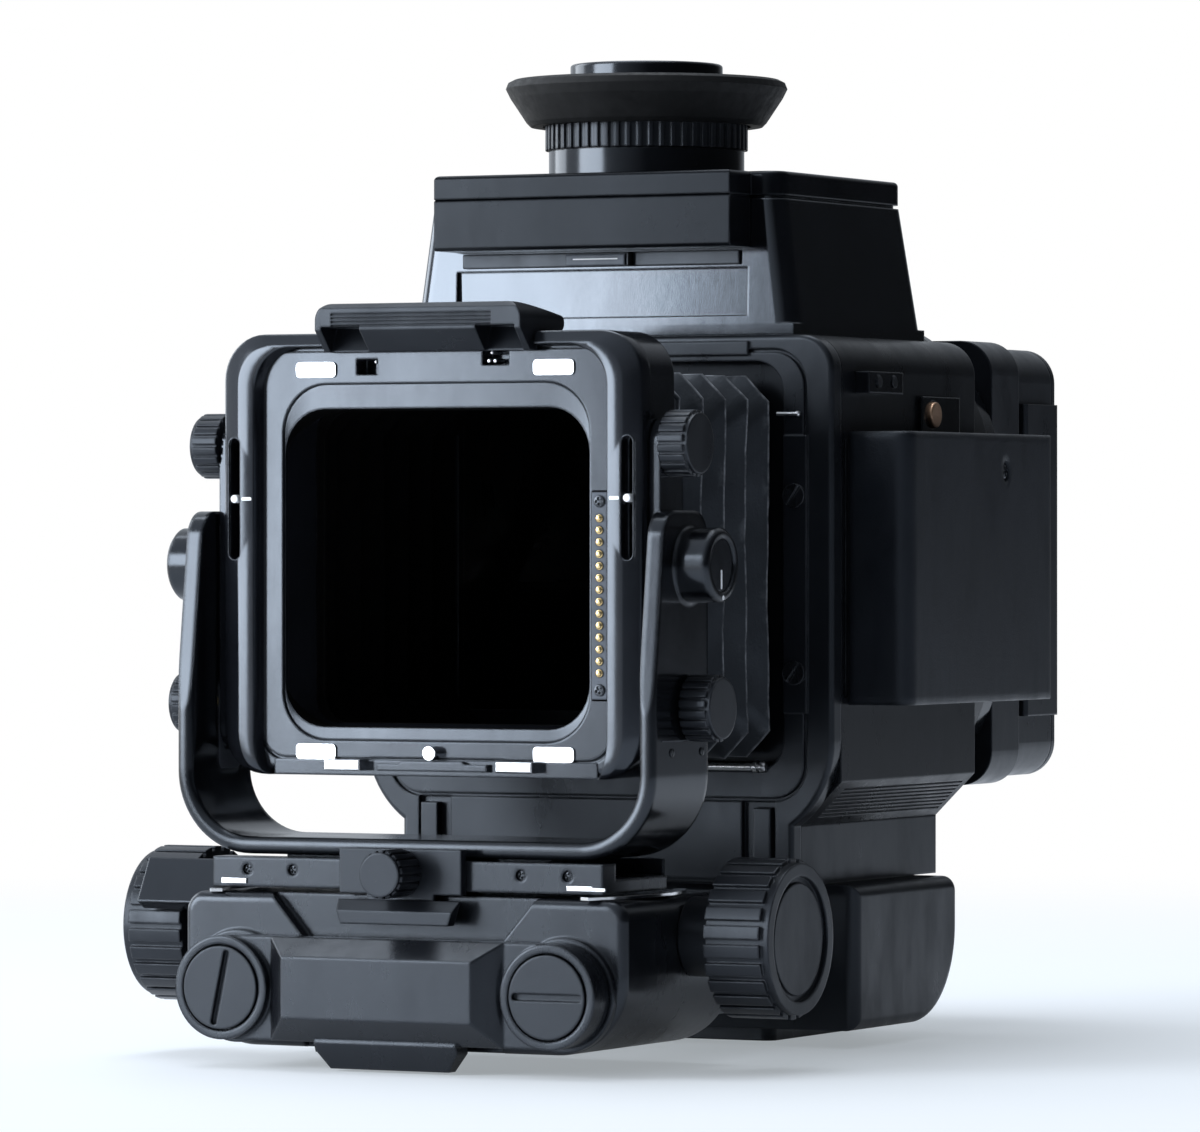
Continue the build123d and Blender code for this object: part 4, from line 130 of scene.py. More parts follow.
class Shader(Nodes):
    """One node material on a Principled BSDF."""

    def __init__(self, name):
        self.material = bpy.data.materials.new(name)
        self.material.use_nodes = True
        super().__init__(self.material.node_tree)
        self.bsdf = self.nodes["Principled BSDF"]

    def surface(self, colour, rough, **values):
        """Links the colour and the roughness, and sets plain values by socket name."""
        self.link(colour, self.bsdf.inputs["Base Color"])
        self.link(rough, self.bsdf.inputs["Roughness"])
        for key, value in values.items():
            self.bsdf.inputs[key.replace("_", " ")].default_value = value

    def rounded(self, radius):
        """Normal with the sharp edges rounded."""
        bevel = self.nodes.new("ShaderNodeBevel")
        bevel.samples = 6
        bevel.inputs["Radius"].default_value = radius
        return bevel.outputs["Normal"]

    def edges(self, radius):
        """1 along the sharp edges, 0 elsewhere."""
        plain = self.nodes.new("ShaderNodeNewGeometry").outputs["Normal"]
        alike = self.vector("DOT_PRODUCT", self.rounded(radius), plain)
        return self.span(self.math("SUBTRACT", 1.0, alike), 0.02, 0.25)

    def attribute(self, name):
        node = self.nodes.new("ShaderNodeAttribute")
        node.attribute_name = name
        return node.outputs["Fac"]

    def bumps(self, *heights, edge=0.0):
        """Chain of bumps, each (height socket, strength, distance), over edges rounded by a radius."""
        normal = self.rounded(edge) if edge else None
        for height, strength, distance in heights:
            node = self.nodes.new("ShaderNodeBump")
            node.inputs["Strength"].default_value = strength
            node.inputs["Distance"].default_value = distance
            self.link(height, node.inputs["Height"])
            if normal:
                self.link(normal, node.inputs["Normal"])
            normal = node.outputs["Normal"]
        self.link(normal, self.bsdf.inputs["Normal"])


# Materials
COOL = (0.8, 0.885, 1.0, 1.0)  # tint of what the black finishes reflect
RUBBED_AND_HIGHLIT = (0.16, 0.165, 0.18)
RUBBED_AND_HIGHLIT_WIDTH = 0.0007
DUST = (0.09, 0.092, 0.1)


def scaled(colour, *factors):
    """Colour times one factor, or times one factor for each channel."""
    return tuple(c * f for c, f in zip(colour, factors if len(factors) > 1 else factors * 3))


def coated(name, colour, rough, grain=2600.0, grain_depth=0.00004, edge_wear_and_highlight=0.25, coat=0.0, metallic=0.0, shine=0.45,
           edge=0.0007):
    """Semi-gloss black finish: fine grain, faint cloudy handling marks, dust, and lighter edges that are partly rubbed
    wear and partly a painted highlight.
    """
    s = Shader(name)
    cloudy = s.noise(38.0, 5.0, 0.6)
    base = s.mix(s.span(cloudy, 0.35, 0.68), scaled(colour, 0.8), scaled(colour, 1.35))
    # lighter edges: rubbed wear, and partly a painted highlight along the edges
    rubbed_and_highlit = s.math("MULTIPLY", s.edges(RUBBED_AND_HIGHLIT_WIDTH), s.span(s.noise(160.0, 4.0, 0.6), 0.45, 0.7, 0.0, edge_wear_and_highlight))
    base = s.mix(rubbed_and_highlit, base, RUBBED_AND_HIGHLIT)
    dust = s.math("MULTIPLY", s.span(s.cells(420.0), 0.0, 0.09, 1.0, 0.0), s.span(cloudy, 0.5, 0.7, 0.0, 0.5))
    smear = s.noise(95.0, 6.0, 0.65, stretch=(1.0, 1.0, 0.35))
    s.surface(s.mix(dust, base, DUST), s.span(smear, 0.3, 0.75, rough * 0.78, rough * 1.4), Metallic=metallic,
              Specular_IOR_Level=shine, Specular_Tint=COOL, Coat_Weight=coat, Coat_Roughness=0.12)
    s.bumps((s.noise(grain, 2.0, 0.6), 0.35, grain_depth), (s.noise(300.0, 3.0), 0.12, 0.00006), edge=edge)
    return s.material


def bright(name, colour, rough, brushed=(1.0, 1.0, 14.0), stain=(0.35, 0.33, 0.3)):
    """Polished or satin metal with fine brushing and a little tarnish."""
    s = Shader(name)
    lines = s.noise(900.0, 3.0, 0.6, stretch=brushed)
    tarnish = s.span(s.noise(240.0, 5.0, 0.65), 0.52, 0.74, 0.0, 0.5)
    s.surface(s.mix(tarnish, colour, scaled(colour, *stain)), s.span(lines, 0.3, 0.7, rough * 0.75, rough * 1.4),
              Metallic=1.0)
    s.bumps((lines, 0.15, 0.00002), edge=0.0002)
    return s.material


def rubber(name, colour, rough):
    """Matte rubber with a powdery bloom."""
    s = Shader(name)
    bloom = s.span(s.noise(120.0, 6.0, 0.7), 0.48, 0.75, 0.0, 0.5)
    s.surface(s.mix(bloom, colour, tuple(c * 2.2 + 0.004 for c in colour)),
              s.span(s.noise(500.0, 4.0), 0.3, 0.7, rough - 0.08, rough + 0.1), Specular_IOR_Level=0.24)
    s.bumps((s.noise(2200.0, 3.0, 0.7), 0.4, 0.00005), (s.cells(900.0), 0.12, 0.00006), edge=0.0004)
    return s.material


def flocked(name):
    """Light-trap black for the inside of the camera and the bellows."""
    s = Shader(name)
    s.surface(s.mix(s.span(s.noise(300.0, 4.0), 0.3, 0.7), (0.0008, 0.0008, 0.001), (0.002, 0.002, 0.0022)),
              s.span(s.noise(900.0), 0.3, 0.7, 0.9, 1.0), Specular_IOR_Level=0.08)
    s.bumps((s.noise(2500.0, 3.0), 0.2, 0.00005))
    return s.material


def cloth(name):
    """Coated bellows cloth: leathery grain, creases across the folds, pale scuffs on the crests and a painted highlight
    line along the top of each crest.
    """
    s = Shader(name)
    crest = s.attribute("crest")
    scuff = s.math("MULTIPLY", s.span(crest, 0.72, 0.97), s.span(s.noise(120.0, 6.0, 0.72), 0.55, 0.7, 0.0, 0.6))
    # painted highlight: a thin pale line along the top of each crest, broken up by noise
    painted_crest_highlight = s.math("MULTIPLY", s.span(crest, 0.93, 0.965), s.span(s.noise(260.0, 5.0, 0.7), 0.4, 0.68, 0.12, 1.0))
    patch = s.span(s.noise(46.0, 5.0, 0.6), 0.42, 0.66)
    base = s.mix(patch, (0.007, 0.008, 0.010), (0.012, 0.0138, 0.017))
    base = s.mix(scuff, base, (0.12, 0.125, 0.135))
    base = s.mix(painted_crest_highlight, base, (0.26, 0.27, 0.29))
    flecks = s.span(s.noise(620.0, 5.0, 0.8), 0.68, 0.8, 0.0, 0.3)
    s.surface(s.mix(flecks, base, (0.08, 0.082, 0.09)), s.span(s.noise(130.0, 4.0), 0.3, 0.7, 0.36, 0.56),
              Specular_IOR_Level=0.5, Specular_Tint=COOL, Sheen_Weight=0.06, Sheen_Roughness=0.5)
    creases = s.noise(110.0, 5.0, 0.6, stretch=(1.0, 2.4, 0.45))
    s.bumps((creases, 0.6, 0.0006), (s.cells(1500.0), 0.3, 0.00008), (s.noise(2400.0, 2.0), 0.2, 0.00004))
    return s.material


def paint(name, colour):
    """Printed or filled mark, slightly uneven."""
    s = Shader(name)
    worn = s.span(s.noise(700.0, 4.0, 0.7), 0.55, 0.75, 0.0, 0.35)
    s.surface(s.mix(worn, colour, scaled(colour, 0.55)), s.span(s.noise(300.0), 0.3, 0.7, 0.45, 0.62))
    s.bumps((s.noise(1500.0), 0.2, 0.00002))
    return s.material


def glass(name, tint, rough):
    """Clear or tinted glass with a faint film and a few rougher smears."""
    s = Shader(name)
    film = s.span(s.noise(70.0, 4.0), 0.4, 0.7)
    s.surface(s.mix(film, tint, scaled(tint, 0.94)), s.span(s.noise(240.0, 5.0, 0.7), 0.55, 0.8, rough, rough + 0.12),
              Transmission_Weight=1.0, IOR=1.5)
    return s.material


BLACK = (0.0055, 0.0062, 0.0080)
DEEP = (0.0035, 0.0040, 0.0052)
shell_black = coated("shell_black", BLACK, 0.33, grain=3000.0)
body_black = coated("body_black", DEEP, 0.3, grain=3000.0, shine=0.24)
smooth_black = coated("smooth_black", BLACK, 0.15, grain=3400.0, grain_depth=0.000012, edge_wear_and_highlight=0.35, shine=0.62)
satin_black = coated("satin_black", BLACK, 0.32, grain=2400.0, shine=0.42)
gloss_black = coated("gloss_black", DEEP, 0.14, grain=3600.0, grain_depth=0.00001, coat=0.1)
finder_black = coated("finder_black", DEEP, 0.1, grain=3600.0, grain_depth=0.000008, shine=0.9)
plate_black = coated("plate_black", DEEP, 0.2, grain=3600.0, grain_depth=0.000015, shine=0.14)
pack_black = coated("pack_black", (0.0055, 0.0066, 0.0092), 0.38, grain=1700.0, grain_depth=0.0001, edge_wear_and_highlight=0.15,
                    shine=0.36, edge=0.0028)
yoke_black = coated("yoke_black", DEEP, 0.14, grain=3400.0, grain_depth=0.00001, edge_wear_and_highlight=0.35, shine=0.55, edge=0.0017)
carriage_black = coated("carriage_black", BLACK, 0.24, grain=2400.0, grain_depth=0.00003, shine=0.52, edge=0.001)
# screw heads: strong lighter edges, partly wear and partly a painted highlight on the rims
screw_dark = coated("screw_dark", (0.004, 0.0042, 0.005), 0.25, edge_wear_and_highlight=0.6, shine=0.6, edge=0.0002)
strip_grey = coated("strip_grey", (0.05, 0.055, 0.066), 0.36, grain=2400.0)
knob_black = coated("knob_black", (0.0065, 0.0072, 0.0092), 0.34, grain=2000.0, edge_wear_and_highlight=0.4, shine=0.4)
rail_black = coated("rail_black", (0.03, 0.032, 0.036), 0.28, grain=3000.0, metallic=0.6)
inner_black = flocked("inner_black")
eyecup_rubber = rubber("eyecup_rubber", (0.0045, 0.0048, 0.0052), 0.6)
chrome = bright("chrome", (0.86, 0.865, 0.88), 0.14)
satin_steel = bright("satin_steel", (0.62, 0.63, 0.65), 0.3)
gilt = bright("gilt", (0.86, 0.66, 0.34), 0.22, stain=(0.55, 0.42, 0.3))
brass = bright("brass", (0.74, 0.58, 0.3), 0.28, stain=(0.5, 0.42, 0.3))
copper = bright("copper", (0.66, 0.43, 0.29), 0.35, stain=(0.6, 0.5, 0.42))
silvered = bright("silvered", (0.9, 0.91, 0.93), 0.03, brushed=(1, 1, 1), stain=(0.9, 0.9, 0.9))
bellows_cloth = cloth("bellows_cloth")
white_paint = paint("white_paint", (0.86, 0.87, 0.88))
lens_glass = glass("lens_glass", (0.93, 0.97, 1.0), 0.02)
screen_glass = glass("screen_glass", (0.1, 0.1, 0.1), 0.4)

finishes = (
    (shell_black, ("back_adapter", "base", "film_back", "film_door")),
    (body_black, ("body", "rear_flange")),
    (smooth_black, ("board_slider", "focus_lock", "lens_frame", "tilt_carriers")),
    (satin_black, ("control_panel", "foot_plate", "front_plate", "lens_latch", "lock_block", "pressure_plate",
                   "rail_caps", "side_catch", "take_up_spool")),
    (gloss_black, ("button_plate", "eyepiece_barrel", "revolving_ring", "strap_lugs")),
    (finder_black, ("finder",)),
    (plate_black, ("finder_lid", "name_bar")),
    (pack_black, ("battery_pack",)),
    (yoke_black, ("yoke",)),
    (carriage_black, ("carriage", "cross_bar", "swing_plate")),
    (screw_dark, ("body_screws",)),
    (strip_grey, ("arm_plates", "contact_strip")),
    (knob_black, ("dioptre_ring", "focus_knob_left", "focus_knob_right", "rise_knob_left", "rise_knob_right",
                  "shift_lock_knob", "shutter_dial", "tilt_knob_left", "tilt_knob_right")),
    (rail_black, ("rails",)),
    (inner_black, ("mirror_holder", "throat_frame")),
    (eyecup_rubber, ("eyecup",)),
    (chrome, ("mount_fittings", "release_button", "swing_pointers", "swing_scale")),
    (satin_steel, ("focus_shaft", "tripod_bushes")),
    (copper, ("battery_button",)),
    (silvered, ("mirror",)),
    (white_paint, ("index_pins",)),
    (lens_glass, ("magnifier_lens",)),
    (screen_glass, ("focusing_screen",)),
)
for look, nodes in finishes:
    for node in nodes:
        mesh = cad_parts[node].data
        mesh.materials.clear()
        mesh.materials.append(look)


# Helpers for pieces
def add_object(name, data):
    obj = bpy.data.objects.new(name, data)
    scene.collection.objects.link(obj)
    return obj


def to_mesh(name, bm):
    mesh = bpy.data.meshes.new(name)
    bm.to_mesh(mesh)
    bm.free()
    return mesh


def piece(name, bm, body, look, smooth=35.0):
    """Object from a bmesh, smooth where faces meet at less than an angle, attached to the body where one is given;
    where body is None it is left unattached.
    """
    bmesh.ops.recalc_face_normals(bm, faces=bm.faces)
    mesh = to_mesh(name, bm)
    mesh.materials.append(look)
    obj = add_object(name, mesh)
    mesh.shade_smooth()
    mesh.set_sharp_from_angle(angle=math.radians(smooth))
    if body:
        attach(obj, body)
    return obj


def placed(origin, normal):
    """Frame at a point in millimetres: local z along the normal, local y as near to upwards as it goes."""
    z = Vector(normal).normalized()
    x = Vector((0, 0, 1)).cross(z)
    if x.length < 1e-4:
        x = Vector((1, 0, 0)).cross(z)
    x.normalize()
    rotation = Matrix((x, z.cross(x), z)).transposed().to_4x4()
    return Matrix.Translation(Vector(origin) * MM) @ rotation @ Matrix.Scale(MM, 4)


def points_of(bm, outline, height, where):
    """Points for a flat outline of (x, y) pairs at a local height."""
    return [bm.verts.new(where @ Vector((x, y, height))) for x, y in outline]


def join_rings(bm, rings, closed=False):
    """Faces from each ring of points to the next, and from the last to the first where closed."""
    pairs = list(zip(rings, rings[1:]))
    if closed:
        pairs.append((rings[-1], rings[0]))
    bands = []
    for a, b in pairs:
        after = [(i, (i + 1) % len(a)) for i in range(len(a))]
        bands.append([bm.faces.new((a[i], a[j], b[j], b[i])) for i, j in after])
    return bands


def lathe(bm, profile, where, steps=28):
    """Turned form from (radius, height) pairs, closed at radius 0."""
    turns = [2 * math.pi * step / steps for step in range(steps)]
    rings = []
    for radius, height in profile:
        if radius:
            rings.append(points_of(bm, [(radius * math.cos(t), radius * math.sin(t)) for t in turns], height, where))
        else:
            rings.append(points_of(bm, [(0, 0)], height, where))
    for lower, upper in zip(rings, rings[1:]):
        for step in range(steps):
            after = (step + 1) % steps
            if len(lower) == 1 and len(upper) == 1:
                continue
            if len(lower) == 1:
                bm.faces.new((lower[0], upper[step], upper[after]))
            elif len(upper) == 1:
                bm.faces.new((lower[step], lower[after], upper[0]))
            else:
                bm.faces.new((lower[step], lower[after], upper[after], upper[step]))


def prism(bm, outline, low, high, where):
    """Straight solid over a flat outline of (x, y) pairs."""
    bottom = points_of(bm, outline, low, where)
    top = points_of(bm, outline, high, where)
    bm.faces.new(bottom[::-1])
    bm.faces.new(top)
    join_rings(bm, (bottom, top))


def rim(bm, outer, inner, low, high, where):
    """Closed bar between two outlines with as many points."""
    rows = ((outer, low), (outer, high), (inner, high), (inner, low))
    join_rings(bm, [points_of(bm, outline, height, where) for outline, height in rows], closed=True)


def bar_outline(width, height, centre=(0, 0), angle=0.0, corner=0.0, steps=4):
    """Rounded rectangle as (x, y) pairs."""
    points = []
    a, b = width / 2 - corner, height / 2 - corner
    for index, (sx, sy) in enumerate(((1, 1), (-1, 1), (-1, -1), (1, -1))):
        for step in range(steps + 1 if corner else 1):
            turn = math.pi / 2 * (index + step / steps)
            points.append((sx * a + corner * math.cos(turn), sy * b + corner * math.sin(turn)))
    c, s = math.cos(angle), math.sin(angle)
    return [(centre[0] + x * c - y * s, centre[1] + x * s + y * c) for x, y in points]


def flat_piece(name, outline, low, high, where, body, look):
    bm = bmesh.new()
    prism(bm, outline, low, high, where)
    return piece(name, bm, body, look)


def turned_piece(name, profile, where, steps, body, look):
    bm = bmesh.new()
    lathe(bm, profile, where, steps)
    return piece(name, bm, body, look)


def screw_head(bm, where, radius, height, kind, angle, depth):
    """Domed screw head with a real slot or cross: a square grid drawn in to a disc, with the slot's cells sunk."""
    width, reach = (radius * 0.2, radius) if kind == "slot" else (radius * 0.26, radius * 0.72)
    side_height = height * 0.62
    c, s = math.cos(angle), math.sin(angle)

    def point(x, y, sunk=0.0):
        r = math.hypot(x, y) / radius
        z = side_height + (height - side_height) * math.sqrt(max(0.0, 1 - r * r))
        return bm.verts.new(where @ Vector((x * c - y * s, x * s + y * c, z - sunk)))

    def in_slot(x, y, slack):
        x, y = abs(x) - slack, abs(y) - slack
        return (y <= width and x <= reach) or (kind == "cross" and x <= width and y <= reach)

    ticks = []
    lines = sorted({round(v, 5) for v in (-radius, -width, width, radius)})
    for low, high in zip(lines, lines[1:]):
        count = 12 if high - low > radius * 0.5 else 2
        ticks += [low + (high - low) * i / count for i in range(count)]
    ticks.append(radius)
    places = {}
    for i, x in enumerate(ticks):
        for j, y in enumerate(ticks):
            r = math.hypot(x, y)
            draw_in = 1.0 if r < 1e-9 else max(abs(x), abs(y)) / r
            places[i, j] = (x * draw_in, y * draw_in)
    top = {key: point(*place) for key, place in places.items()}
    floor = {(i, j): point(*places[i, j], depth) for i, j in places if in_slot(ticks[i], ticks[j], 1e-6)}
    sunk_cells = set()
    for i in range(len(ticks) - 1):
        for j in range(len(ticks) - 1):
            keys = ((i, j), (i + 1, j), (i + 1, j + 1), (i, j + 1))
            mid_x = sum(ticks[k[0]] for k in keys) / 4
            mid_y = sum(ticks[k[1]] for k in keys) / 4
            if in_slot(mid_x, mid_y, -1e-6) and all(k in floor for k in keys):
                bm.faces.new([floor[k] for k in keys])
                sunk_cells.add((i, j))
            else:
                bm.faces.new([top[k] for k in keys])
    for i, j in sunk_cells:
        walls = (
            ((i - 1, j), (i, j), (i, j + 1)), ((i + 1, j), (i + 1, j), (i + 1, j + 1)),
            ((i, j - 1), (i, j), (i + 1, j)), ((i, j + 1), (i, j + 1), (i + 1, j + 1)),
        )
        for beside, a, b in walls:
            if beside not in sunk_cells:
                bm.faces.new((floor[a], floor[b], top[b], top[a]))
    lathe(bm, ((radius, side_height), (radius, 0.0)), where)


# Pleated bellows, cut where one body hands over to the next
BELLOWS_HALF_X, BELLOWS_HALF_Z = 49.5, 47.5
BELLOWS_MID_Z = 120.5
BELLOWS_REAR, BELLOWS_FRONT = -55.0, -130.0
FOLDS = 6
FOLD_DEPTH = 6.6
# share of a fold along it, and depth there: 1 in a valley and near 0 on the crest's flat top
FOLD_ROWS = ((0.0, 1.0), (0.10, 0.82), (0.25, 0.5), (0.40, 0.2), (0.484, 0.03), (0.516, 0.03), (0.60, 0.2),
             (0.75, 0.5), (0.90, 0.82))
HAND_OVER = (
    ("camera_body", "carriage", BELLOWS_REAR, -103.0), ("carriage", "swing", -103.0, -112.0),
    ("swing", "yoke", -112.0, -115.5), ("yoke", "tilt", -115.5, -126.5), ("tilt", "standard", -126.5, BELLOWS_FRONT),
)
pitch = (BELLOWS_REAR - BELLOWS_FRONT) / FOLDS
stations = [(BELLOWS_REAR - fold * pitch - share * pitch, depth) for fold in range(FOLDS) for share, depth in FOLD_ROWS]
stations.append((BELLOWS_FRONT, 1.0))


def fold_depth(y):
    """Depth at a distance along the bellows, 0 at a crest and 1 in a valley."""
    for (ya, da), (yb, db) in zip(stations, stations[1:]):
        if yb - 1e-6 <= y <= ya + 1e-6:
            return da + (db - da) * ((ya - y) / (ya - yb))
    return 1.0


def bellows_ring(y, depth):
    """One closed line of points round the bellows, with cut corners, uneven except at its two ends."""
    points = []
    inset = depth * FOLD_DEPTH
    hollow = -0.5 * (1 - depth)
    uneven = 0.0 if y in (BELLOWS_REAR, BELLOWS_FRONT) else 1.0
    half_x, half_z = BELLOWS_HALF_X - inset, BELLOWS_HALF_Z - inset
    cut = 6.3 + inset * 0.35
    corners = [
        (half_x, -half_z + cut), (half_x, half_z - cut), (half_x - cut, half_z), (-half_x + cut, half_z),
        (-half_x, half_z - cut), (-half_x, -half_z + cut), (-half_x + cut, -half_z), (half_x - cut, -half_z),
    ]
    for (x0, z0), (x1, z1) in zip(corners, corners[1:] + corners[:1]):
        size = math.hypot(z1 - z0, x0 - x1)
        out_x, out_z = (z1 - z0) / size, (x0 - x1) / size
        steps = 26 if size > 20 else 3
        for step in range(steps):
            t = step / steps
            x, z = x0 + (x1 - x0) * t, z0 + (z1 - z0) * t
            bow = hollow * math.sin(math.pi * t) if steps > 3 else 0.0
            broad = Vector((x * 0.06, y * 0.11, z * 0.06))
            fine = Vector((x * 0.22, y * 0.3 + 9.0, z * 0.22))
            push = bow + (0.55 * noise.noise(broad) + 0.22 * noise.noise(fine)) * uneven
            along = 0.35 * noise.noise(broad + Vector((5.0, 1.0, 3.0))) * uneven
            points.append((x + out_x * push, y + along, z + out_z * push))
    return points


for index, (rear_body, front_body, y0, y1) in enumerate(HAND_OVER):
    bm = bmesh.new()
    crest = bm.verts.layers.float.new("crest")
    rings = []
    for y in sorted({round(y, 4) for y, _ in stations if y1 < y < y0} | {y0, y1}, reverse=True):
        depth = fold_depth(y)
        ring = []
        for point in bellows_ring(y, depth):
            vert = bm.verts.new(Vector(point) * MM + Vector((0, 0, BELLOWS_MID_Z * MM)))
            vert[crest] = 1 - depth
            ring.append(vert)
        rings.append(ring)
    join_rings(bm, rings)
    part = piece(f"bellows_{index}", bm, None, bellows_cloth, smooth=32.0)
    part.data.materials.append(inner_black)
    skin = part.modifiers.new("skin", "SOLIDIFY")
    skin.thickness = 0.5 * MM
    skin.offset = -1.0
    skin.material_offset = 1
    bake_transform(part)
    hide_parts("bellows")

# Gilt spring contacts with domed tips, two cross screws on their strip, and a dark line round it
SEAT_Y = -145.0
STRIP_X, STRIP_MID_Z = 45.0, 113.7
STRIP_WIDTH, STRIP_LENGTH = 4.2, 49.4
STRIP_FACE_Y = -145.7
CONTACTS = 14
CONTACT_PITCH = 2.84
CONTACT_PROFILE = ((0.95, 0.0), (0.95, 0.28), (0.8, 0.34), (0.72, 0.36), (0.72, 0.62), (0.62, 0.8), (0.38, 0.9),
                   (0, 0.93))
bm = bmesh.new()
for index in range(CONTACTS):
    z = STRIP_MID_Z + (index - (CONTACTS - 1) / 2) * CONTACT_PITCH
    lathe(bm, CONTACT_PROFILE, placed((STRIP_X, STRIP_FACE_Y, z), FRONT), 16)
contacts = piece("spring_contacts", bm, "standard", gilt)
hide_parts("contact_pins")
bm = bmesh.new()
for z, turn in ((91.2, 0.4), (136.2, 0.1)):
    screw_head(bm, placed((STRIP_X, STRIP_FACE_Y, z), FRONT), 1.45, 0.5, "cross", turn, 0.45)
piece("strip_screws", bm, "standard", screw_dark)
bm = bmesh.new()
rim(bm, bar_outline(STRIP_WIDTH + 0.9, STRIP_LENGTH + 0.9, corner=0.5),
    bar_outline(STRIP_WIDTH + 0.06, STRIP_LENGTH + 0.06, corner=0.06), -0.2, 0.05,
    placed((STRIP_X, SEAT_Y, STRIP_MID_Z), FRONT))
piece("strip_line_dark", bm, "standard", inner_black)

# Raised band round the lens seat: slopes out to the sides and down to the seat, open behind the latch
BAND_START_X = 28.7
BAND_BOTTOM_Z = 69.95
SLOT_X, SLOT_Z = 53.6, 137.0
quarter = [math.pi / 2 * i / 10 for i in range(11)]


def edge_path(half, top, corner, foot_x, turn_z):
    """Right half of an outline in (x, z): from behind the latch, round both corners to the bottom."""
    line = [(BAND_START_X, top)]
    line += [(half - corner + corner * math.sin(a), top - corner + corner * math.cos(a)) for a in quarter]
    line += [(half, z) for z in (157.0, 152.5, 145.0, 137.0, 129.0, 121.5, 105.0, 90.0)]
    line += [(foot_x + (half - foot_x) * math.cos(a), turn_z - (turn_z - BAND_BOTTOM_Z) * math.sin(a)) for a in quarter]
    return line


# outlines from the outside inwards: half width, top, corner, and where the bottom corner ends and starts
edge_lines = (
    edge_path(57.08, 177.05, 11.1, 46.0, 81.0),
    edge_path(52.6, 174.35, 9.4, 45.5, 80.5),
    edge_path(48.2, 173.95, 10.2, 44.5, 80.0),
    edge_path(47.25, 173.4, 10.4, 43.8, 80.0),
)
# each row: outline that it starts from, share of the way to the next outline, height in front of the seat
BAND_ROWS = (
    (0, 0.0, -2.4), (0, 0.0, 1.7), (0, 0.03, 2.0), (0, 0.1, 2.25), (0, 0.94, 3.25), (1, 0.0, 3.38), (1, 0.08, 3.45),
    (1, 0.9, 3.45), (1, 0.97, 3.38), (2, 0.05, 3.15), (2, 0.9, 0.1), (2, 1.0, -0.1), (1, 0.5, -1.0),
)
LOW_STEPS = 6  # steps at the bottom over which the band gets lower
INDEX_PROFILE = ((0, -9.3), (1.0, -9.3), (1.0, -0.3), (0.94, -0.08), (0.7, 0.0), (0, 0.04))


def cut_away(target, bm):
    """Cuts a bmesh solid out of an object, and keeps the result as its mesh."""
    bmesh.ops.recalc_face_normals(bm, faces=bm.faces)
    cutter = add_object("cutter", to_mesh("cutter", bm))
    cut = target.modifiers.new("cut", "BOOLEAN")
    cut.operation = "DIFFERENCE"
    cut.object = cutter
    bpy.context.view_layer.update()
    shaped = bpy.data.meshes.new_from_object(target.evaluated_get(bpy.context.evaluated_depsgraph_get()))
    target.modifiers.clear()
    target.data = shaped
    bpy.data.objects.remove(cutter)


for name, side in SIDES.items():
    bm = bmesh.new()
    rings = []
    steps = len(edge_lines[0])
    for step in range(steps):
        low = 1.0 - 0.7 * max(0.0, (step - (steps - 1 - LOW_STEPS)) / LOW_STEPS) ** 2
        ring = []
        for pair, share, height in BAND_ROWS:
            (x0, z0), (x1, z1) = edge_lines[pair][step], edge_lines[pair + 1][step]
            x, z = x0 + (x1 - x0) * share, z0 + (z1 - z0) * share
            out = height * low if height > 0 else height
            ring.append(bm.verts.new(Vector((side * x, SEAT_Y - out, z)) * MM))
        rings.append(ring)
    join_rings(bm, rings)
    bm.faces.new(rings[0])
    bm.faces.new(rings[-1][::-1])
    band = piece(f"seat_band_{name}", bm, None, smooth_black, smooth=28.0)
    bm = bmesh.new()
    prism(bm, bar_outline(3.1, 29.6, corner=1.54, steps=8), -6.0, 6.0, placed((side * SLOT_X, -146.5, SLOT_Z), FRONT))
    cut_away(band, bm)
    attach(band, "standard")

    # thin rim round the slot, white index line beside it and white index head in it
    bm = bmesh.new()
    rim(bm, bar_outline(3.62, 30.1, corner=1.8, steps=8), bar_outline(3.08, 29.56, corner=1.53, steps=8), -0.5, 0.12,
        placed((side * SLOT_X, -148.3, SLOT_Z), FRONT))
    piece(f"slot_rim_{name}", bm, "standard", smooth_black)
    flat_piece(f"index_line_{name}", bar_outline(2.7, 0.85, corner=0.3), -0.1, 0.06,
               placed((side * 50.2, -148.45, SLOT_Z), FRONT), "standard", white_paint)
    turned_piece(f"index_head_{name}", INDEX_PROFILE, placed((side * SLOT_X, -148.6, SLOT_Z), FRONT), 20, "tilt",
                 white_paint)

# Liner of the lens window: a ledge under its top edge and over its bottom edge, straight dark sides, and a lip
# at the back. Each row: width, height, middle Z, corner, Y
LINER_ROWS = (
    (84.0, 86.7, 121.65, 12.0, -144.4), (83.2, 77.2, 120.2, 11.0, -144.3), (82.6, 77.0, 120.2, 10.5, -132.0),
    (74.9, 76.3, 120.3, 7.0, -132.0), (74.9, 76.3, 120.3, 7.0, -131.2), (83.4, 78.2, 120.2, 11.2, -131.2),
    (83.7, 85.7, 121.6, 11.8, -143.9),
)
bm = bmesh.new()
rings = []
for width, height, mid_z, corner, y in LINER_ROWS:
    outline = bar_outline(width, height, (0, mid_z), corner=corner, steps=8)
    rings.append([bm.verts.new(Vector((x, y, z)) * MM) for x, z in outline])
for band in join_rings(bm, rings, closed=True)[1:]:
    for face in band:
        face.material_index = 1
liner = piece("window_liner", bm, "standard", smooth_black, smooth=25.0)
liner.data.materials.append(inner_black)

# Flat sill that carries the seat on to the bottom edge of the frame
flat_piece("seat_sill", bar_outline(88.4, 3.9, (0, 71.9), corner=0.3), -2.4, 0.1, placed((0, SEAT_Y, 0), FRONT),
           "standard", smooth_black)

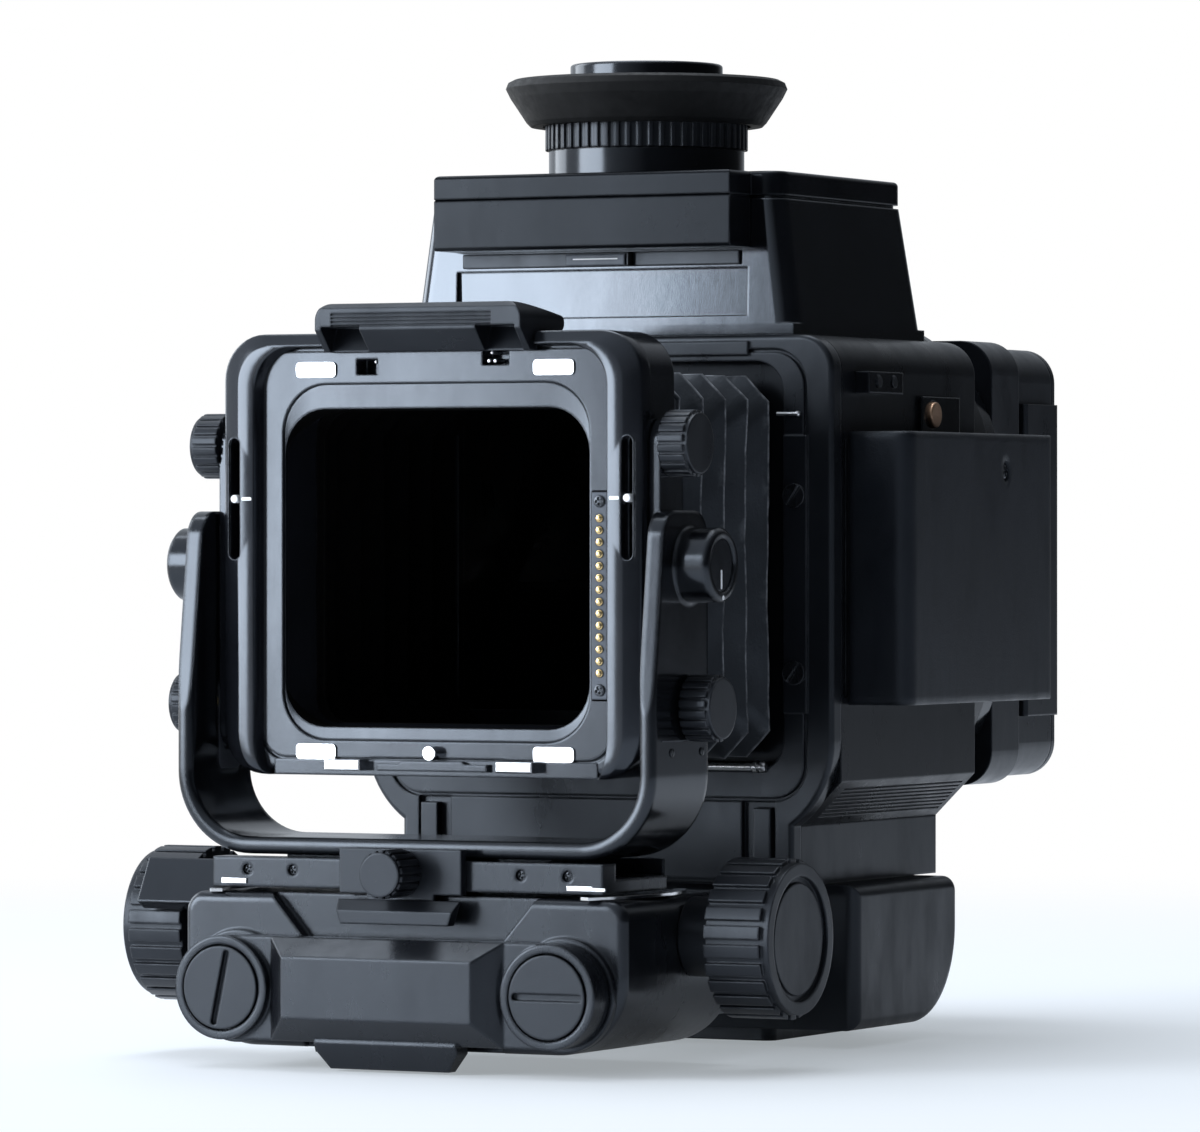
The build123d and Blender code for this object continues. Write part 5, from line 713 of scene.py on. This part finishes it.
# Strip between the name bar and the panel, with a small clear window, a bright line in it and a dark pin
flat_piece("panel_strip", bar_outline(78.0, 3.6, (0, 197.6), corner=0.4), -0.2, 0.5, placed((0, -56.9, 0), FRONT),
           "camera_body", shell_black)
flat_piece("strip_window", bar_outline(16.6, 2.9, (-1.0, 197.5), corner=0.3), 0.0, 0.5,
           placed((0, -57.4, 0), FRONT), "camera_body", strip_grey)
flat_piece("strip_line", bar_outline(12.6, 0.32, (-1.0, 197.7), corner=0.1), 0.0, 0.12,
           placed((0, -57.9, 0), FRONT), "camera_body", white_paint)
turned_piece("strip_pin", ((0, 0.0), (0.7, 0.0), (0.7, 3.2), (0.5, 3.4), (0, 3.4)),
             placed((9.0, -58.0, 195.9), (0, 0, 1)), 14, "camera_body", inner_black)

# Plain lines round the shutter dial, longer at each quarter, and an index line on the body
DIAL_Z = 150.0
DIAL_LINES = 12
bm = bmesh.new()
for step in range(DIAL_LINES):
    turn = 2 * math.pi * step / DIAL_LINES
    middle = (8.6 * math.cos(turn), 8.6 * math.sin(turn))
    length = 2.2 if step % 3 else 3.0
    prism(bm, bar_outline(length, 0.42, middle, turn, 0.1), -0.05, 0.06, placed((-75.1, 2.0, DIAL_Z), (-1, 0, 0)))
piece("dial_lines", bm, "shutter_dial", white_paint)
flat_piece("dial_index", bar_outline(0.6, 3.0, corner=0.1), -0.05, 0.08, placed((-70.0, 15.6, DIAL_Z), (-1, 0, 0)),
           "camera_body", white_paint)

# Mark on each tilt disc and a dot under it on the yoke
TILT_Y, TILT_Z = -138.0, 121.0
for name, side in SIDES.items():
    outwards = (side, 0, 0)
    flat_piece(f"tilt_mark_{name}", bar_outline(0.7, 4.6, (0, -3.4), corner=0.2), -0.1, 0.08,
               placed((side * 73.5, TILT_Y, TILT_Z), outwards), "tilt", white_paint)
    turned_piece(f"tilt_dot_{name}", ((0, -0.1), (0.55, -0.1), (0.55, 0.07), (0, 0.1)),
                 placed((side * 74.0, TILT_Y, 113.3), outwards), 16, "yoke", white_paint)

# Brass pin ends and slot screws on the inner plates of the arms, and screws under a line on their outer sides
ARM_INNER_X, ARM_OUTER_X = 60.75, 65.05
PIN_END_PROFILE = ((0, -0.4), (1.25, -0.4), (1.25, 0.16), (1.1, 0.24), (0.5, 0.3), (0, 0.3))
pins, screws, lines = bmesh.new(), bmesh.new(), bmesh.new()
for side in SIDES.values():
    inwards, outwards = (-side, 0, 0), (side, 0, 0)
    lathe(pins, PIN_END_PROFILE, placed((side * ARM_INNER_X, -140.6, 87.4), inwards), 20)
    screw_head(screws, placed((side * ARM_INNER_X, -139.4, 77.6), inwards), 2.0, 0.7, "slot", 0.9, 0.35)
    for y in (-147.4, -131.4):
        screw_head(screws, placed((side * ARM_OUTER_X, y, 76.6), outwards), 1.0, 0.3, "slot", 1.2, 0.2)
    prism(lines, bar_outline(25.0, 0.3), -0.05, 0.12, placed((side * 65.02, -140.0, 79.4), outwards))
piece("brass_stops", pins, "yoke", brass)
piece("arm_screws", screws, "yoke", screw_dark)
piece("cover_lines", lines, "yoke", strip_grey)

# Cross screws in the front of the swing plate
bm = bmesh.new()
for x, turn in ((-43.5, 0.3), (-31.0, 0.9), (31.0, 0.5), (43.5, 1.2)):
    screw_head(bm, placed((x, -158.6, 47.4), FRONT), 1.28, 0.5, "cross", turn, 0.45)
piece("swing_screws", bm, "swing", screw_dark)

# Steel rod under the bellows opening with two rings at its end, and a pin over the side strip
ROD_PROFILE = ((0, 0.0), (1.0, 0.0), (1.05, 0.3), (1.05, 89.0), (0.8, 89.0), (0.8, 89.6), (1.45, 89.6), (1.45, 90.6),
               (0.8, 90.6), (0.8, 91.5), (1.45, 91.5), (1.45, 92.4), (1.1, 93.0), (0, 93.1))
STOP_PROFILE = ((0, 0.0), (0.5, 0.0), (0.5, 5.2), (0.65, 5.2), (0.72, 5.9), (0.4, 6.3), (0, 6.35))
turned_piece("guide_rod", ROD_PROFILE, placed((-45.0, -60.4, 70.6), (1, 0, 0)), 20, "camera_body", satin_steel)
turned_piece("stop_pin", STOP_PROFILE, placed((51.2, -60.9, 158.3), (1, 0, 0)), 14, "camera_body", satin_steel)

# Pins inside the catch pockets of the seat
bm = bmesh.new()
for x, z, radius in ((-16.6, 170.1, 0.45), (15.2, 172.0, 0.5), (14.4, 170.0, 0.6), (16.1, 170.0, 0.6)):
    profile = ((0, -0.3), (radius, -0.3), (radius, 3.2), (radius * 0.7, 3.6), (0, 3.7))
    lathe(bm, profile, placed((x, -140.6, z), FRONT), 12)
piece("catch_pins", bm, "standard", satin_steel)

# Cross screw in the battery pack
bm = bmesh.new()
screw_head(bm, placed((82.0, 8.0, 144.5), (1, 0, 0)), 1.9, 0.6, "cross", 0.2, 0.4)
piece("pack_screw", bm, "camera_body", screw_dark)

# Floor of pale paper, with painted shade that makes it dimmer far to the right. Away from the object it glows white
# to the camera, and on the left to reflections and through glass as well, so the object's shadow stays
WHITE = (1.0, 1.0, 1.0)
bm = bmesh.new()
bmesh.ops.create_circle(bm, cap_ends=True, segments=96, radius=6.0)
floor_mesh = to_mesh("floor", bm)
floor = add_object("floor", floor_mesh)
s = Shader("floor_white")
reach = s.vector("LENGTH", s.where)
split = s.nodes.new("ShaderNodeSeparateXYZ")
s.link(s.where, split.inputs[0])
across = split.outputs["X"]
paper = s.mix(s.span(s.noise(3.0), 0.3, 0.7), (0.89, 0.91, 0.955), (0.91, 0.93, 0.965))
# painted shade: the paper's colour goes dark far off to the right of the object
painted_shade_right = s.math("MULTIPLY", s.span(reach, 0.7, 2.2), s.span(across, -0.8, 0.2))
s.link(s.mix(painted_shade_right, paper, (0.3, 0.31, 0.33)), s.bsdf.inputs["Base Color"])
s.bsdf.inputs["Roughness"].default_value = 0.55
s.bsdf.inputs["Specular IOR Level"].default_value = 0.2
path = s.nodes.new("ShaderNodeLightPath").outputs
glow = s.nodes.new("ShaderNodeEmission")
# Near the object about a third of the glow stays and it is bluish: painted light that lifts the object's shadow and
# tints it blue
s.link(s.mix(s.span(reach, 0.2, 0.9), (0.88, 0.95, 1.0), WHITE), glow.inputs["Color"])
away = s.span(reach, 0.2, 0.75, 0.36, 1.0)
lit_side = s.span(across, -0.6, 0.3, 1.0, 0.0)
mirrored = s.math("MULTIPLY", s.math("MAXIMUM", path["Is Glossy Ray"], path["Is Transmission Ray"]), lit_side)
blend = s.nodes.new("ShaderNodeMixShader")
s.link(s.math("MULTIPLY", away, s.math("MAXIMUM", path["Is Camera Ray"], mirrored)), blend.inputs[0])
s.link(s.bsdf.outputs[0], blend.inputs[1])
s.link(glow.outputs[0], blend.inputs[2])
s.link(blend.outputs[0], s.nodes["Material Output"].inputs["Surface"])
floor_mesh.materials.append(s.material)

# The studio is bright to the left and above and dark to the right, and white to the camera
TO_LIGHT = (-0.79, -0.08, 0.6)
DARK_SIDE, LIGHT_SIDE = 0.03, 0.95
world = bpy.data.worlds.new("studio")
scene.world = world
world.use_nodes = True
w = Nodes(world.node_tree, "Generated")
seen = w.nodes.new("ShaderNodeLightPath").outputs["Is Camera Ray"]
room = w.span(w.vector("DOT_PRODUCT", w.where, TO_LIGHT), -0.25, 0.75, DARK_SIDE, LIGHT_SIDE)
background = w.nodes["Background"]
w.link(w.math("MAXIMUM", seen, room), background.inputs["Strength"])
w.link(w.mix(seen, (0.84, 0.91, 1.0), WHITE), background.inputs["Color"])
LAMP = (0.88, 0.935, 1.0)


def softbox(name, place, aim, size, power):
    """Area lamp at a place, turned to a point."""
    lamp = bpy.data.lights.new(name, "AREA")
    lamp.shape = "RECTANGLE"
    lamp.size, lamp.size_y = size
    lamp.energy = power
    lamp.color = LAMP
    obj = add_object(name, lamp)
    obj.location = place
    obj.rotation_euler = (Vector(aim) - Vector(place)).to_track_quat("-Z", "Y").to_euler()


softbox("key_box", (-1.46, -1.63, 0.605), (0, -0.1, 0.6), (1.3, 1.2), 57.0)
softbox("left_box", (-1.6, 0.15, 0.6), (0, 0, 0.12), (0.8, 1.1), 10.0)
softbox("top_box", (-0.25, 0.15, 1.35), (0, -0.02, 0.1), (0.9, 0.8), 8.0)

# Level camera, turned 27 degrees, with the picture shifted instead of tilted
camera = bpy.data.cameras.new("camera")
camera.lens = 219.0
camera.sensor_width = 36.0
camera.shift_y = -0.0217
camera_object = add_object("camera", camera)
camera_object.location = (0.8341, -1.6942, 0.127)
camera_object.rotation_euler = Vector((-0.45399, 0.89101, 0.0)).to_track_quat("-Z", "Y").to_euler()
scene.camera = camera_object
scene.view_settings.view_transform = "Standard"
